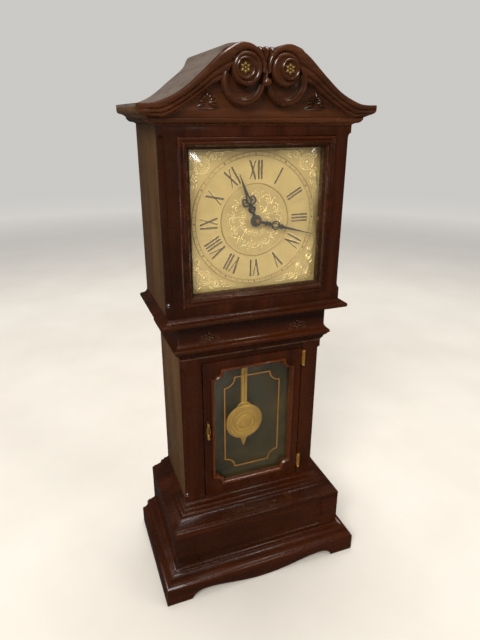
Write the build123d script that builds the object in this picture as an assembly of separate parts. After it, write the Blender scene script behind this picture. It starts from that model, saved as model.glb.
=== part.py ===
"""Miniature longcase clock with a battery movement, as separate pieces.

Millimetres. X points right, the front faces -Y and +Z is up. The origin is on the floor under the middle
of the base. A depth is a distance forwards from the clock's flat back, and a height is measured from the
floor, so most pieces are drawn in X and height and then extruded between two depths.
"""

from build123d import *
import math
import os

# Overall blocks: half widths, depths and heights
BASE_HALF, BASE_DEPTH, BASE_TOP = 113.4, 134.0, 34.6
PLINTH_HALF, PLINTH_DEPTH, PLINTH_TOP = 97.4, 120.1, 77.0
TRUNK_HALF, TRUNK_DEPTH, TRUNK_BOTTOM, TRUNK_TOP = 76.8, 90.4, 92.3, 301.0
HOOD_HALF, HOOD_DEPTH, HOOD_BOTTOM, HOOD_TOP = 88.6, 100.3, 314.2, 480.3
CORNICE_UNDERSIDE, CORNICE_TOP = 472.0, 486.0
ROOF_HALF, ROOF_TIP_Z, ROOF_DEPTH = 105.8, 496.7, 111.5
BACK_Y = BASE_DEPTH / 2

# Boards
WALL = 6.0
BACK_THICK = 4.0
RAIL = 20.0
ROOF_THICK = 2.5

# Waist door, its window and its hinges
DOOR_HALF, DOOR_BOTTOM, DOOR_TOP = 55.0, 96.4, 259.4
DOOR_BACK, DOOR_FRONT = 83.0, 91.2
DOOR_GAP_LEFT, DOOR_GAP_RIGHT, DOOR_GAP_END = 0.9, 1.4, 0.5
WINDOW_HALF, WINDOW_BOTTOM, WINDOW_TOP, WINDOW_NOTCH = 43.6, 110.0, 248.0, 10.8
BEAD_WIDTH, BEAD_HEIGHT = 2.8, 2.6
GLASS_BACK, GLASS_FRONT = 86.5, 88.0
HINGE_X, HINGE_DEPTH, HINGE_RADIUS, HINGE_LENGTH = 57.3, 92.6, 1.9, 18.2
HINGE_HEIGHTS = (117.8, 245.6)
PULL_X, PULL_LOW, PULL_HIGH = -50.8, 170.5, 190.0

# Dial, lens and hands
DIAL_Z = 398.0
DIAL_OPENING = 63.5
DIAL_BACK, DIAL_FRONT = 88.3, 89.3
FRAME_OPENING = 66.5
LENS_PEAK, LENS_THICK = 100.2, 1.2
HOUR_HAND_LENGTH, HOUR_HAND_ANGLE = 44.5, 338.9
MINUTE_HAND_LENGTH, MINUTE_HAND_ANGLE = 60.0, 105.3

# Movement, motion work and pendulum
HOUSING_HALF, HOUSING_LOW, HOUSING_HIGH = 28.0, 360.0, 436.0
HOUSING_BACK = 74.3
COVER_BACK, COVER_TOP = 72.3, 416.0
ARBOR_RADIUS, TUBE_RADIUS, BUSH_RADIUS = 1.2, 2.4, 4.0
RUNNING_CLEARANCE = 0.06
CENTRE_DISTANCE = 16.0
MOTION_ANGLE = 225.0
CANNON_TEETH, MOTION_WHEEL_TEETH, MOTION_PINION_TEETH, HOUR_TEETH = 16, 48, 12, 48
BATTERY_RADIUS, BATTERY_LENGTH, BATTERY_Z, BATTERY_DEPTH = 7.1, 49.5, 425.2, 79.9
PIVOT_Z = 376.0
BOB_Z, BOB_RADIUS = 165.0, 21.8
TAIL_Z = 131.0

# Pediment
CREST_X, CREST_Z, CREST_RADIUS = 19.3, 522.4, 18.6
SCROLL_X, SCROLL_Z, SCROLL_RADIUS = 16.9, 522.5, 12.8
EYE_X, EYE_Z, EYE_RADIUS = 19.4, 522.6, 8.3
RING_X, RING_Z, RING_RADIUS = 19.0, 513.6, 18.9
BALL_Z, BALL_RADIUS, BALL_DEPTH = 512.7, 3.9, 110.3
BUD_DEPTH = 106.5
ROSETTE_STEP = 9.0
TYMPANUM_FRONT = 103.5
FRIEZE_FLOWER_X, FRIEZE_FLOWER_Z = 47.4, 288.5


# ---------------------------------------------------------------- drawing helpers
def arc(through, end):
    """A round step of an outline: through one point, to another."""
    return ("arc", through, end)


def outline(start, *steps):
    """Joined edges from start: a plain point is a straight line, an arc() step is a round one."""
    edges, at = [], start
    for step in steps:
        if step[0] == "arc":
            edges.append(ThreePointArc(at, step[1], step[2]))
            at = step[2]
        else:
            edges.append(Line(at, step))
            at = step
    return edges


def polygon(*points):
    """A closed flat face through the points."""
    return make_face(outline(points[0], *points[1:], points[0]))


def slab(face, depth_from, depth_to):
    """A face drawn in X and height, made solid between two depths."""
    plane = Plane.XZ.offset(depth_from - BACK_Y)
    return extrude(plane * face, amount=depth_to - depth_from)


def upright(face, z_from, z_to):
    """A face drawn in X and Y, made solid between two heights."""
    return extrude(Plane.XY.offset(z_from) * face, amount=z_to - z_from)


def block(x_from, x_to, depth_from, depth_to, z_from, z_to):
    """A plain rectangular board."""
    middle = Pos((x_from + x_to) / 2, BACK_Y - (depth_from + depth_to) / 2, (z_from + z_to) / 2)
    return middle * Box(x_to - x_from, depth_to - depth_from, z_to - z_from)


def pin(x, z, radius, depth_from, depth_to):
    """A round bar lying front to back."""
    return slab(Pos(x, z) * Circle(radius), depth_from, depth_to)


def turned(x, z, *steps):
    """A turned piece lying front to back: steps are radius and depth, from and to the axis."""
    half = make_face(outline(*steps, steps[0]))
    placed = Plane(origin=(x, BACK_Y, z), x_dir=(1, 0, 0), z_dir=(0, 0, 1)) * mirror(half, about=Plane.XZ)
    return revolve(placed, axis=Axis((x, 0, z), (0, 1, 0)))


def place_profile(steps, wall, run):
    """Turns a profile's shares of the run into distances from the centre."""

    def place(point):
        return (wall + run * point[0], point[1])

    return [arc(place(s[1]), place(s[2])) if s[0] == "arc" else place(s) for s in steps]


def step_end(step):
    return step[2] if step[0] == "arc" else step


def moulded_block(steps, side_wall, side_run, front_wall, front_run):
    """A block whose left, right and front faces all follow one moulding profile."""
    side = place_profile(steps, side_wall, side_run)
    right = outline(*side)
    left = [mirror(edge, about=Plane.YZ) for edge in right]
    low, high = side[0], step_end(side[-1])
    top = Line(high, (-high[0], high[1]))
    bottom = Line(low, (-low[0], low[1]))
    across = slab(make_face(right + left + [top, bottom]), 0, BASE_DEPTH + 1)

    front = place_profile(steps, front_wall, front_run)
    fronts = [(step[0], *[(BACK_Y - p[0], p[1]) for p in step[1:]]) if step[0] == "arc"
              else (BACK_Y - step[0], step[1]) for step in front]
    low, high = fronts[0], step_end(fronts[-1])
    closed = outline(*fronts, (BACK_Y, high[1]), (BACK_Y, low[1]), low)
    along = extrude(Plane.YZ.offset(-BASE_HALF - 1) * make_face(closed), amount=2 * BASE_HALF + 2)
    return across & along


def mitred(ring, inner_half, inner_depth, side_thick, front_thick):
    """Cuts a three-sided moulding into its front, left and right strips at mitred corners."""
    reach = 1.5
    out_x, out_d = inner_half + reach * side_thick, inner_depth + reach * front_thick
    in_x, in_d = inner_half - reach * side_thick, inner_depth - reach * front_thick
    wedge = upright(polygon((-out_x, BACK_Y - out_d), (out_x, BACK_Y - out_d),
                            (in_x, BACK_Y - in_d), (-in_x, BACK_Y - in_d)), -1, ROOF_TOP)
    front = ring & wedge
    sides = ring - wedge
    left = sides & block(-BASE_HALF - 1, 0, -1, BASE_DEPTH, -1, ROOF_TOP)
    right = sides & block(0, BASE_HALF + 1, -1, BASE_DEPTH, -1, ROOF_TOP)
    return front, left, right


def hollow_corner(x, depth, z_from, z_to, radius=4.5):
    """The cutter for a stopped hollow chamfer down an upright corner."""
    at = Pos(x, BACK_Y - depth, (z_from + z_to) / 2)
    cutter = at * Cylinder(radius, z_to - z_from)
    for z in (z_from, z_to):
        cutter += Pos(x, BACK_Y - depth, z) * Sphere(radius)
    return cutter


def indented(half, low, high, notch, grow=0.0):
    """A rectangle with a round bite out of each corner, or the same grown outwards all round."""
    wide, tall = 2 * (half + grow), high - low + 2 * grow
    face = Pos(0, (low + high) / 2) * Rectangle(wide, tall)
    bite = notch - grow
    for x in (-half, half):
        for z in (low, high):
            face -= Pos(x, z) * Circle(bite)
            if grow:
                out_x, out_z = math.copysign(grow, x), (grow if z == high else -grow)
                face -= Pos(x, z + out_z) * Rectangle(2 * bite, 2 * grow)
                face -= Pos(x + out_x, z) * Rectangle(2 * grow, 2 * bite)
    return face


def gear(teeth, pitch_radius, depth_from, depth_to, phase=0.0):
    """A spur gear of short straight-sided teeth, with a tooth centred on the phase angle."""
    module = 2 * pitch_radius / teeth
    tip, root = pitch_radius + 0.7 * module, pitch_radius - 1.0 * module
    step = 2 * math.pi / teeth
    corners = []
    for tooth in range(teeth):
        middle = math.radians(phase) + tooth * step
        for share, radius in ((-0.26, root), (-0.12, tip), (0.12, tip), (0.26, root)):
            angle = middle + share * step
            corners.append((radius * math.cos(angle), radius * math.sin(angle)))
    return slab(Pos(0, DIAL_Z) * polygon(*corners), depth_from, depth_to)


# ---------------------------------------------------------------- profiles (share of run, height)
BASE_PROFILE = [
    (1, 0), (1, 19.4), arc((0.97, 20.6), (0.92, 21.2)), (0.86, 21.4), arc((0.68, 23.2), (0.60, 27.4)),
    (0.60, 28.4), arc((0.50, 31.0), (0.28, 31.8)), (0.25, 31.9), (0.25, 32.8),
    arc((0.08, 33.3), (0.0, BASE_TOP)),
]
PLINTH_PROFILE = [
    (1, PLINTH_TOP), (1, 79.2), arc((0.988, 79.9), (0.96, 80.2)), (0.92, 80.4), (0.90, 81.6),
    arc((0.68, 82.6), (0.46, 84.9)), (0.455, 86.2), arc((0.42, 87.7), (0.34, 88.2)), (0.28, 88.3),
    arc((0.26, 89.7), (0.20, 90.2)), (0.15, 90.3), arc((0.04, 91.0), (0.0, TRUNK_BOTTOM)),
]
WAIST_PROFILE = [
    (0, 262.0), arc((0.06, 267.0), (0.26, 269.5)), (0.32, 269.8), (0.34, 271.8),
    arc((0.62, 273.2), (0.80, 275.4)), (0.95, 275.9), arc((1.0, 277.5), (0.95, 279.2)), (0.84, 279.8),
    arc((0.48, 281.8), (0.27, 285.8)), (0.27, TRUNK_TOP),
]
LEDGE_PROFILE = [
    (-1.16, TRUNK_TOP), arc((-0.82, 301.5), (-0.66, 302.4)), (-0.62, 303.4), arc((-0.1, 303.8), (0.28, 304.9)),
    (0.36, 305.0), (0.40, 305.9), (0.90, 306.2), arc((1.0, 307.7), (0.93, 309.9)), (0.80, 310.3),
    arc((0.26, 311.3), (0.0, HOOD_BOTTOM)),
]
CORNICE_PROFILE = [
    (0, HOOD_TOP), arc((0.16, 481.3), (0.46, 481.9)), (0.52, 482.0), arc((0.80, 483.0), (0.94, 484.4)),
    (1.0, 484.6), (1.0, CORNICE_TOP),
]
SIDE_CORNICE_PROFILE = [
    (97.4, CORNICE_TOP), arc((99.7, 487.8), (102.6, 488.8)), (104.0, 489.2), arc((105.2, 490.0), (105.5, 491.0)),
    (ROOF_HALF, 491.2), (ROOF_HALF, 500.0),
]
ROOF_TOP = CREST_Z + CREST_RADIUS


def swan_curve(drop=0.0, side=1):
    """The top edge of the pediment on one side, from the outer tip over the crest to the valley."""
    outer = (ROOF_HALF, ROOF_TIP_Z - drop)
    peak = (CREST_X, ROOF_TOP - drop)
    between = [(96.5, 496.8 - drop), (87.0, 498.6 - drop), (70.7, 506.0 - drop), (54.7, 518.2 - drop),
               (38.5, 532.1 - drop)]
    rise = Spline(outer, *between, peak, tangents=[(-1, 0), (-1, 0)])
    turn = math.radians(62)
    half_turn = turn / 2
    over = (CREST_X - CREST_RADIUS * math.sin(half_turn), CREST_Z + CREST_RADIUS * math.cos(half_turn) - drop)
    inner = (CREST_X - CREST_RADIUS * math.sin(turn), CREST_Z + CREST_RADIUS * math.cos(turn) - drop)
    edges = [rise, ThreePointArc(peak, over, inner)]
    if side < 0:
        edges = [mirror(edge, about=Plane.YZ) for edge in edges]
    return edges, (side * outer[0], outer[1]), (side * inner[0], inner[1])


def under_swan(drop, bottom, half):
    """The face below the pediment's top edge, down to a straight bottom, within a half width."""
    right, right_tip, right_valley = swan_curve(drop)
    left, left_tip, left_valley = swan_curve(drop, side=-1)
    valley = (0, right_valley[1] - 2.5)
    edges = right + left + outline(right_valley, valley, left_valley)
    edges += outline(left_tip, (left_tip[0], bottom), (right_tip[0], bottom), right_tip)
    middle = Pos(0, (bottom + ROOF_TOP) / 2) * Rectangle(2 * half, ROOF_TOP - bottom + 2)
    return make_face(edges) & middle


# ---------------------------------------------------------------- base and plinth
def screw(x, z):
    """A countersunk wood screw driven in from the back."""
    return turned(x, z, (0, 0.2), (2.6, 0.2), (2.6, 0.7), (1.1, 2.6), (1.1, 14.0), (0, 15.5))


def back_screws():
    places = [(x, z) for x in (-58, 58) for z in (26.0, 85.0, 307.0, 478.0)]
    return [screw(x, z) for x, z in places]


def back_board():
    """One tall board with an opening behind the movement that is rebated for the cover."""
    board = block(-91.4, 91.4, 0, BACK_THICK, 6, PLINTH_TOP)
    board += block(-70.8, 70.8, 0, BACK_THICK, PLINTH_TOP, 303)
    board += block(-82.6, 82.6, 0, BACK_THICK, 303, 482)
    board -= block(-45, 45, -1, BACK_THICK + 1, 330, 446)
    board -= block(-49, 49, -1, 2.0, 326, 450)
    return board


def base_rails():
    """Three mitred rails: the front one is cut to bracket feet with a serpentine apron between them."""
    run_side, run_front = BASE_HALF - PLINTH_HALF, BASE_DEPTH - PLINTH_DEPTH
    ring = moulded_block(BASE_PROFILE, PLINTH_HALF, run_side, PLINTH_DEPTH, run_front)
    inner_half, inner_depth = BASE_HALF - RAIL, BASE_DEPTH - RAIL
    ring -= block(-inner_half, inner_half, -1, inner_depth, -1, BASE_TOP + 1)
    front, left, right = mitred(ring, inner_half, inner_depth, RAIL, RAIL)
    halves = []
    for side in (1, -1):
        points = [(side * x, z) for x, z in ((0, 1.8), (24, 3.4), (48, 7.6), (73, 9.8), (86, -0.5))]
        cyma = Spline(*points[:4], tangents=[(side, 0), (side, 0)])
        foot = ThreePointArc(points[3], (side * 81.0, 6.6), points[4])
        halves += [cyma, foot]
    apron = make_face(halves + [Line((-86, -0.5), (86, -0.5))])
    return front - slab(apron, inner_depth - 1, BASE_DEPTH + 1), left, right


def plinth_front():
    """Front board with a sunk panel whose corners are notched."""
    board = block(-PLINTH_HALF, PLINTH_HALF, PLINTH_DEPTH - 10, PLINTH_DEPTH, BASE_TOP, PLINTH_TOP)
    panel = Pos(0, 56.0) * Rectangle(155.6, 34.0)
    for x in (-77.8, 77.8):
        for z in (39.0, 73.0):
            panel -= Pos(x, z) * Rectangle(5.2, 12.0)
    return board - slab(panel, PLINTH_DEPTH - 1.6, PLINTH_DEPTH + 1)


def plinth_top():
    """Moulded board that carries the trunk, with the low threshold under the door."""
    board = moulded_block(PLINTH_PROFILE, TRUNK_HALF, PLINTH_HALF - TRUNK_HALF,
                          TRUNK_DEPTH, PLINTH_DEPTH - TRUNK_DEPTH)
    left, right = -DOOR_HALF - DOOR_GAP_LEFT, DOOR_HALF + DOOR_GAP_RIGHT
    return board + block(left, right, TRUNK_DEPTH - WALL, TRUNK_DEPTH, TRUNK_BOTTOM - 1, DOOR_BOTTOM - DOOR_GAP_END)


# ---------------------------------------------------------------- trunk
def trunk_stile(side):
    """Front upright beside the door, with a stopped hollow down its outer corner."""
    inner = DOOR_HALF + (DOOR_GAP_RIGHT if side > 0 else DOOR_GAP_LEFT)
    edges = sorted((side * inner, side * TRUNK_HALF))
    stile = block(*edges, TRUNK_DEPTH - WALL, TRUNK_DEPTH, TRUNK_BOTTOM, TRUNK_TOP)
    return stile - hollow_corner(side * TRUNK_HALF, TRUNK_DEPTH, 104.5, 253.5)


def frieze_board():
    """Board above the door, between the stiles."""
    left, right = -DOOR_HALF - DOOR_GAP_LEFT, DOOR_HALF + DOOR_GAP_RIGHT
    return block(left, right, TRUNK_DEPTH - WALL, TRUNK_DEPTH, DOOR_TOP + DOOR_GAP_END, TRUNK_TOP)


def waist_moulding():
    """Mitred strips round the top of the trunk: a nosed moulding below a plain frieze."""
    run = 7.0
    ring = moulded_block(WAIST_PROFILE, TRUNK_HALF, run, TRUNK_DEPTH, run)
    ring -= block(-TRUNK_HALF, TRUNK_HALF, -1, TRUNK_DEPTH, 261, TRUNK_TOP + 1)
    return mitred(ring, TRUNK_HALF, TRUNK_DEPTH, run, run)


def frieze_rosettes():
    """Two small carved flowers on the frieze."""
    front = TRUNK_DEPTH + 1.9
    flowers = []
    for x in (-FRIEZE_FLOWER_X, FRIEZE_FLOWER_X):
        flower = turned(x, FRIEZE_FLOWER_Z, (0, front), (3.2, front), (2.6, front + 1.6), (0, front + 2.4))
        for petal in range(6):
            angle = math.radians(60 * petal)
            petal_x, petal_z = x + 3.4 * math.cos(angle), FRIEZE_FLOWER_Z + 3.4 * math.sin(angle)
            flower += pin(petal_x, petal_z, 1.8, front, front + 1.2)
        flowers.append(flower)
    return flowers


# ---------------------------------------------------------------- hood
def hood_base():
    """Moulded board under the hood, with an opening for the pendulum."""
    board = moulded_block(LEDGE_PROFILE, HOOD_HALF, 8.0, HOOD_DEPTH, 6.4)
    return board - block(-62, 62, 20, 84, TRUNK_TOP - 1, HOOD_BOTTOM + 1)


def hood_frame():
    """Front frame of the hood: square dial opening, stopped hollows down the outer corners."""
    frame = block(-HOOD_HALF, HOOD_HALF, DIAL_FRONT, HOOD_DEPTH, HOOD_BOTTOM, HOOD_TOP)
    frame -= block(-FRAME_OPENING, FRAME_OPENING, 80, 110, DIAL_Z - FRAME_OPENING, DIAL_Z + FRAME_OPENING)
    for side in (-1, 1):
        frame -= hollow_corner(side * HOOD_HALF, HOOD_DEPTH, 330.5, 469.0)
    return frame


def dial_bezel():
    """Four mitred strips of stepped moulding round the dial."""
    lip = DIAL_OPENING
    section = outline(
        (91.5, 0), (97.0, 0), arc((98.2, 0.35), (98.6, 1.4)), arc((99.2, 2.4), (100.8, 2.9)), (101.3, 3.3),
        arc((102.6, 4.9), (101.5, 6.3)), (100.9, 6.6), arc((101.6, 8.4), (101.2, 9.6)), (HOOD_DEPTH, 10.4),
        (HOOD_DEPTH, FRAME_OPENING - lip), (91.5, FRAME_OPENING - lip), (91.5, 0))
    face = Plane(origin=(0, BACK_Y, DIAL_Z + lip), x_dir=(0, -1, 0), z_dir=(-1, 0, 0)) * make_face(section)
    strip = extrude(face, amount=80, both=True)
    strip &= slab(polygon((0, DIAL_Z), (82, DIAL_Z + 82), (-82, DIAL_Z + 82)), 80, 110)
    centre = Axis((0, 0, DIAL_Z), (0, 1, 0))
    return [strip.rotate(centre, 90 * turn) for turn in range(4)]


def cornice_board():
    """Moulded board that closes the top of the hood and fits down between its sides."""
    inside = HOOD_HALF - WALL
    board = moulded_block(CORNICE_PROFILE, HOOD_HALF, 8.8, HOOD_DEPTH, 4.2)
    return board + block(-inside, inside, BACK_THICK, DIAL_FRONT, CORNICE_UNDERSIDE, HOOD_TOP)


def side_cornice(side):
    """Upper cornice moulding along one side, under the edge of the roof."""
    first, *rest = SIDE_CORNICE_PROFILE
    face = make_face(outline(first, *rest, (88.0, 500.0), (88.0, CORNICE_TOP), first))
    face = face & under_swan(ROOF_THICK, CORNICE_TOP - 1, ROOF_HALF + 1)
    if side < 0:
        face = mirror(face, about=Plane.YZ)
    return slab(face, 0, TYMPANUM_FRONT)


def tympanum():
    """Flat pediment board behind the carved mouldings."""
    return slab(under_swan(ROOF_THICK, CORNICE_TOP, 88.0), TYMPANUM_FRONT - 7, TYMPANUM_FRONT)


def roof_panel():
    """Curved roof sheet, closed at the back."""
    outer = under_swan(0, 480, ROOF_HALF + 1)
    sheet = slab(outer - under_swan(ROOF_THICK, 479, ROOF_HALF + 2), 0, TYMPANUM_FRONT)
    closing = slab(under_swan(ROOF_THICK, CORNICE_TOP, 88.0), 0, ROOF_THICK)
    return sheet + closing


def swan_neck(side):
    """Raking moulding from the outer corner up and over the scroll."""
    top, tip, inner = swan_curve()
    radius = SCROLL_RADIUS + 0.2
    valley = math.radians(58)
    inside = (SCROLL_X - radius * math.sin(valley), SCROLL_Z + radius * math.cos(valley))
    over = (SCROLL_X, SCROLL_Z + radius)
    outside = (SCROLL_X + radius, SCROLL_Z)
    wrap = ThreePointArc(inside, over, outside)
    heel = (82.5, CORNICE_TOP)
    foot = Spline(outside, (34.0, 517.6), (48.8, 505.8), (65.0, 495.8), (74.5, 489.4), heel,
                  tangents=[(0.2, -1), (1, -0.3)])
    edges = top + [Line(inner, inside), wrap, foot] + outline(heel, SIDE_CORNICE_PROFILE[0])
    edges += outline(*SIDE_CORNICE_PROFILE[:-1], tip)
    neck = slab(make_face(edges), TYMPANUM_FRONT, ROOF_DEPTH)
    return neck if side > 0 else mirror(neck, about=Plane.YZ)


def scroll(side, neck):
    """Round scroll with a raised, dished eye, over a larger ring that hangs below it."""
    base = TYMPANUM_FRONT
    edge, groove = RING_RADIUS, RING_RADIUS - 3.9
    ring = turned(side * RING_X, RING_Z, (0, base), (edge, base), (edge, base + 4.4),
                  arc((edge - 1.9, base + 6.8), (groove, base + 4.4)), arc((8.0, base + 1.8), (0, base + 1.2)))
    disc = turned(side * SCROLL_X, SCROLL_Z, (0, base), (SCROLL_RADIUS, base), (SCROLL_RADIUS, base + 6.6),
                  arc((SCROLL_RADIUS - 0.9, base + 8.2), (SCROLL_RADIUS - 2.6, base + 8.7)), (0, base + 8.7))
    eye = turned(side * EYE_X, EYE_Z, (0, base), (EYE_RADIUS, base), (EYE_RADIUS, base + 9.6),
                 arc((EYE_RADIUS - 0.9, base + 10.9), (EYE_RADIUS - 2.2, base + 10.2)),
                 (EYE_RADIUS - 3.0, base + ROSETTE_STEP), (0, base + ROSETTE_STEP))
    well = pin(side * EYE_X, EYE_Z, EYE_RADIUS - 0.5, base + 7.0, base + 20)
    return (ring - neck) + (disc - well) + eye - centre_ball()


def scroll_rosette(side):
    """Gilt six-petalled flower in the eye of a scroll."""
    x, base = side * EYE_X, TYMPANUM_FRONT + ROSETTE_STEP
    flower = turned(x, EYE_Z, (0, base), (1.7, base), (1.4, base + 1.8), (0, base + 2.1))
    for petal in range(6):
        angle = math.radians(60 * petal + 30)
        px, pz = x + 2.9 * math.cos(angle), EYE_Z + 2.9 * math.sin(angle)
        flower += Pos(px, BACK_Y - base, pz) * Sphere(1.6)
    return flower & block(x - 6, x + 6, base, base + 5, EYE_Z - 6, EYE_Z + 6)


def centre_ball():
    return Pos(0, BACK_Y - BALL_DEPTH, BALL_Z) * Sphere(BALL_RADIUS)


def centre_bud(necks):
    """Bud of flutes that rises between the two rings, cut away round them and the necks."""
    bud = make_face(outline((0, 517.0), (1.4, 517.0), arc((1.6, 522.0), (3.2, 527.0)),
                            arc((5.6, 533.0), (5.2, 536.0)), arc((3.4, 538.2), (0, 538.6)), (0, 517.0)))
    bud = revolve(Plane.XZ * bud, axis=Axis.Z)
    bud = Pos(0, BACK_Y - BUD_DEPTH, 0) * bud & block(-20, 20, TYMPANUM_FRONT, 120, 500, 545)
    for side, neck in zip((-1, 1), necks):
        bud -= neck
        bud -= pin(side * RING_X, RING_Z, RING_RADIUS, TYMPANUM_FRONT - 1, 120)
    return bud


def carved_leaf(side):
    """Low five-lobed leaf in the outer corner of the pediment."""
    tip = (side * 44.5, 504.3)
    face = polygon((side * 36.0, 492.6), (side * 60.3, 492.6), (side * 55.4, 496.0), (side * 51.2, 497.6),
                   (side * 48.2, 501.8), tip, (side * 42.0, 499.8), (side * 40.8, 496.4))
    return slab(face, TYMPANUM_FRONT, TYMPANUM_FRONT + 2.2)


# ---------------------------------------------------------------- waist door
def door_frame():
    """Door panel with an indented window opening, rebated behind for the glass."""
    frame = block(-DOOR_HALF, DOOR_HALF, DOOR_BACK, DOOR_FRONT, DOOR_BOTTOM, DOOR_TOP)
    frame -= slab(indented(WINDOW_HALF, WINDOW_BOTTOM, WINDOW_TOP, WINDOW_NOTCH), DOOR_BACK - 1, DOOR_FRONT + 1)
    return frame - block(-47.5, 47.5, DOOR_BACK - 1, GLASS_FRONT, 106.0, 252.0)


def window_bead():
    """Raised bead that frames the window."""
    outer = indented(WINDOW_HALF, WINDOW_BOTTOM, WINDOW_TOP, WINDOW_NOTCH, grow=BEAD_WIDTH)
    inner = indented(WINDOW_HALF, WINDOW_BOTTOM, WINDOW_TOP, WINDOW_NOTCH)
    return slab(outer - inner, DOOR_FRONT, DOOR_FRONT + BEAD_HEIGHT)


def door_pull():
    """Brass pull: a long drop between two knobs, on a narrow plate."""
    plate = slab(Pos(PULL_X, 180.2) * SlotOverall(PULL_HIGH - PULL_LOW, 3.0, rotation=90), DOOR_FRONT, DOOR_FRONT + 0.8)
    for z, radius in ((PULL_HIGH - 2.0, 2.0), (PULL_LOW + 1.8, 1.8)):
        plate += Pos(PULL_X, BACK_Y - DOOR_FRONT - 1.4, z) * Sphere(radius)
    drop = Pos(PULL_X, 179.4) * (Ellipse(2.3, 5.4) - Ellipse(1.1, 4.0))
    plate += slab(drop, DOOR_FRONT + 0.4, DOOR_FRONT + 2.2)
    return plate & block(-60, -40, DOOR_FRONT, 100, 160, 200)


def knuckle(z_from, z_to):
    y = BACK_Y - HINGE_DEPTH
    return Pos(HINGE_X, y, (z_from + z_to) / 2) * Cylinder(HINGE_RADIUS, z_to - z_from)


def hinge_parts(middle):
    """One butt hinge: the fixed leaf with two knuckles and the pin, and the door leaf with one."""
    low, high = middle - HINGE_LENGTH / 2, middle + HINGE_LENGTH / 2
    third = HINGE_LENGTH / 3
    gap = 0.15
    leaf_back = DOOR_BACK + 1
    stile_edge = DOOR_HALF + DOOR_GAP_RIGHT
    y = BACK_Y - HINGE_DEPTH

    fixed = block(stile_edge - 0.6, stile_edge, leaf_back, 90.4, low, high)
    for z_from, z_to in ((low, low + third - gap), (high - third + gap, high)):
        fixed += block(stile_edge - 0.6, stile_edge, leaf_back, 91.6, z_from, z_to) + knuckle(z_from, z_to)
    fixed += Pos(HINGE_X, y, middle) * Cylinder(0.8, HINGE_LENGTH)
    for z in (low - 0.9, high + 0.9):
        fixed += Pos(HINGE_X, y, z) * Sphere(1.5)

    swing = block(DOOR_HALF, DOOR_HALF + 0.6, leaf_back, 91.0, low, high)
    z_from, z_to = low + third + gap, high - third - gap
    swing += block(DOOR_HALF, DOOR_HALF + 0.7, leaf_back, HINGE_DEPTH, z_from, z_to) + knuckle(z_from, z_to)
    swing -= Pos(HINGE_X, y, middle) * Cylinder(0.8 + RUNNING_CLEARANCE, HINGE_LENGTH)
    return fixed, swing


# ---------------------------------------------------------------- dial and hands
def dial_plate():
    """Square pressed plate with a raised chapter ring line and a hole for the mounting bush."""
    half = 72.0
    plate = block(-half, half, DIAL_BACK, DIAL_FRONT, DIAL_Z - half, DIAL_Z + half)
    for radius in (60.6, 33.6):
        ring = Pos(0, DIAL_Z) * (Circle(radius) - Circle(radius - 0.5))
        plate += slab(ring, DIAL_FRONT, DIAL_FRONT + 0.3)
    return plate - pin(0, DIAL_Z, BUSH_RADIUS + 0.05, 80, 95)


def dial_lens():
    """Square crystal with steep shoulders and a shallow dome, on a flat flange."""
    def dome(half, sink):
        radius = 456.0 - sink
        cap = Pos(0, BACK_Y - (LENS_PEAK - 456.0), DIAL_Z) * Sphere(radius)
        return block(-half, half, DIAL_FRONT - 1, 110, DIAL_Z - half, DIAL_Z + half) & cap

    outer = dome(62.6, 0) & block(-90, 90, DIAL_FRONT, 110, 300, 500)
    flange = block(-66.2, 66.2, DIAL_FRONT, 91.4, DIAL_Z - 66.2, DIAL_Z + 66.2)
    return (outer + flange) - dome(62.6 - LENS_THICK, LENS_THICK)


def hand(length, angle, hub, hole, depth, loops):
    """A flat pierced hand: hub ring, stem, pairs of open loops and a long pointed tip."""
    face = Circle(hub) + polygon((-0.7, 0), (0.7, 0), (0.9, 0.5 * length), (0.1, length), (-0.1, length),
                                 (-0.9, 0.5 * length))
    for along, radius in loops:
        for side in (-1, 1):
            face += Pos(side * radius, along) * (Circle(radius + 0.7) - Circle(radius - 0.7))
    face -= Circle(hole)
    return slab(Pos(0, DIAL_Z) * Rot(0, 0, -angle) * face, depth, depth + 0.5)


def hour_hand():
    return hand(HOUR_HAND_LENGTH, HOUR_HAND_ANGLE, 3.7, TUBE_RADIUS + 0.03, 91.6, ((12.0, 2.6), (21.0, 3.4)))


def minute_hand():
    return hand(MINUTE_HAND_LENGTH, MINUTE_HAND_ANGLE, 3.2, ARBOR_RADIUS + 0.03, 92.9, ((15.0, 1.9), (21.5, 2.3)))


def hand_nut():
    """Domed nut that holds the minute hand."""
    nut = pin(0, DIAL_Z, 2.4, 93.5, 95.6) + Pos(0, BACK_Y - 95.6, DIAL_Z) * Sphere(2.35)
    return nut - pin(0, DIAL_Z, ARBOR_RADIUS + 0.03, 93, 96.6)


# ---------------------------------------------------------------- movement
def motion_centre():
    angle = math.radians(MOTION_ANGLE)
    return CENTRE_DISTANCE * math.cos(angle), DIAL_Z + CENTRE_DISTANCE * math.sin(angle)


def movement_housing():
    """Plastic tray with the threaded bush in front and an open battery bay at the top."""
    body = block(-HOUSING_HALF, HOUSING_HALF, HOUSING_BACK, DIAL_BACK, HOUSING_LOW, HOUSING_HIGH)
    body -= block(-26.5, 26.5, HOUSING_BACK - 1, 86.8, 361.5, 415.0)
    body -= block(-26.0, 26.0, HOUSING_BACK - 1, 87.2, 417.0, 433.4)
    body += pin(0, DIAL_Z, BUSH_RADIUS, 86.8, 91.0)
    x, z = motion_centre()
    body -= pin(x, z, 0.75 + RUNNING_CLEARANCE, 86.0, DIAL_BACK - 0.4)
    return body - pin(0, DIAL_Z, TUBE_RADIUS + RUNNING_CLEARANCE, 86, 92)


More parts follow.
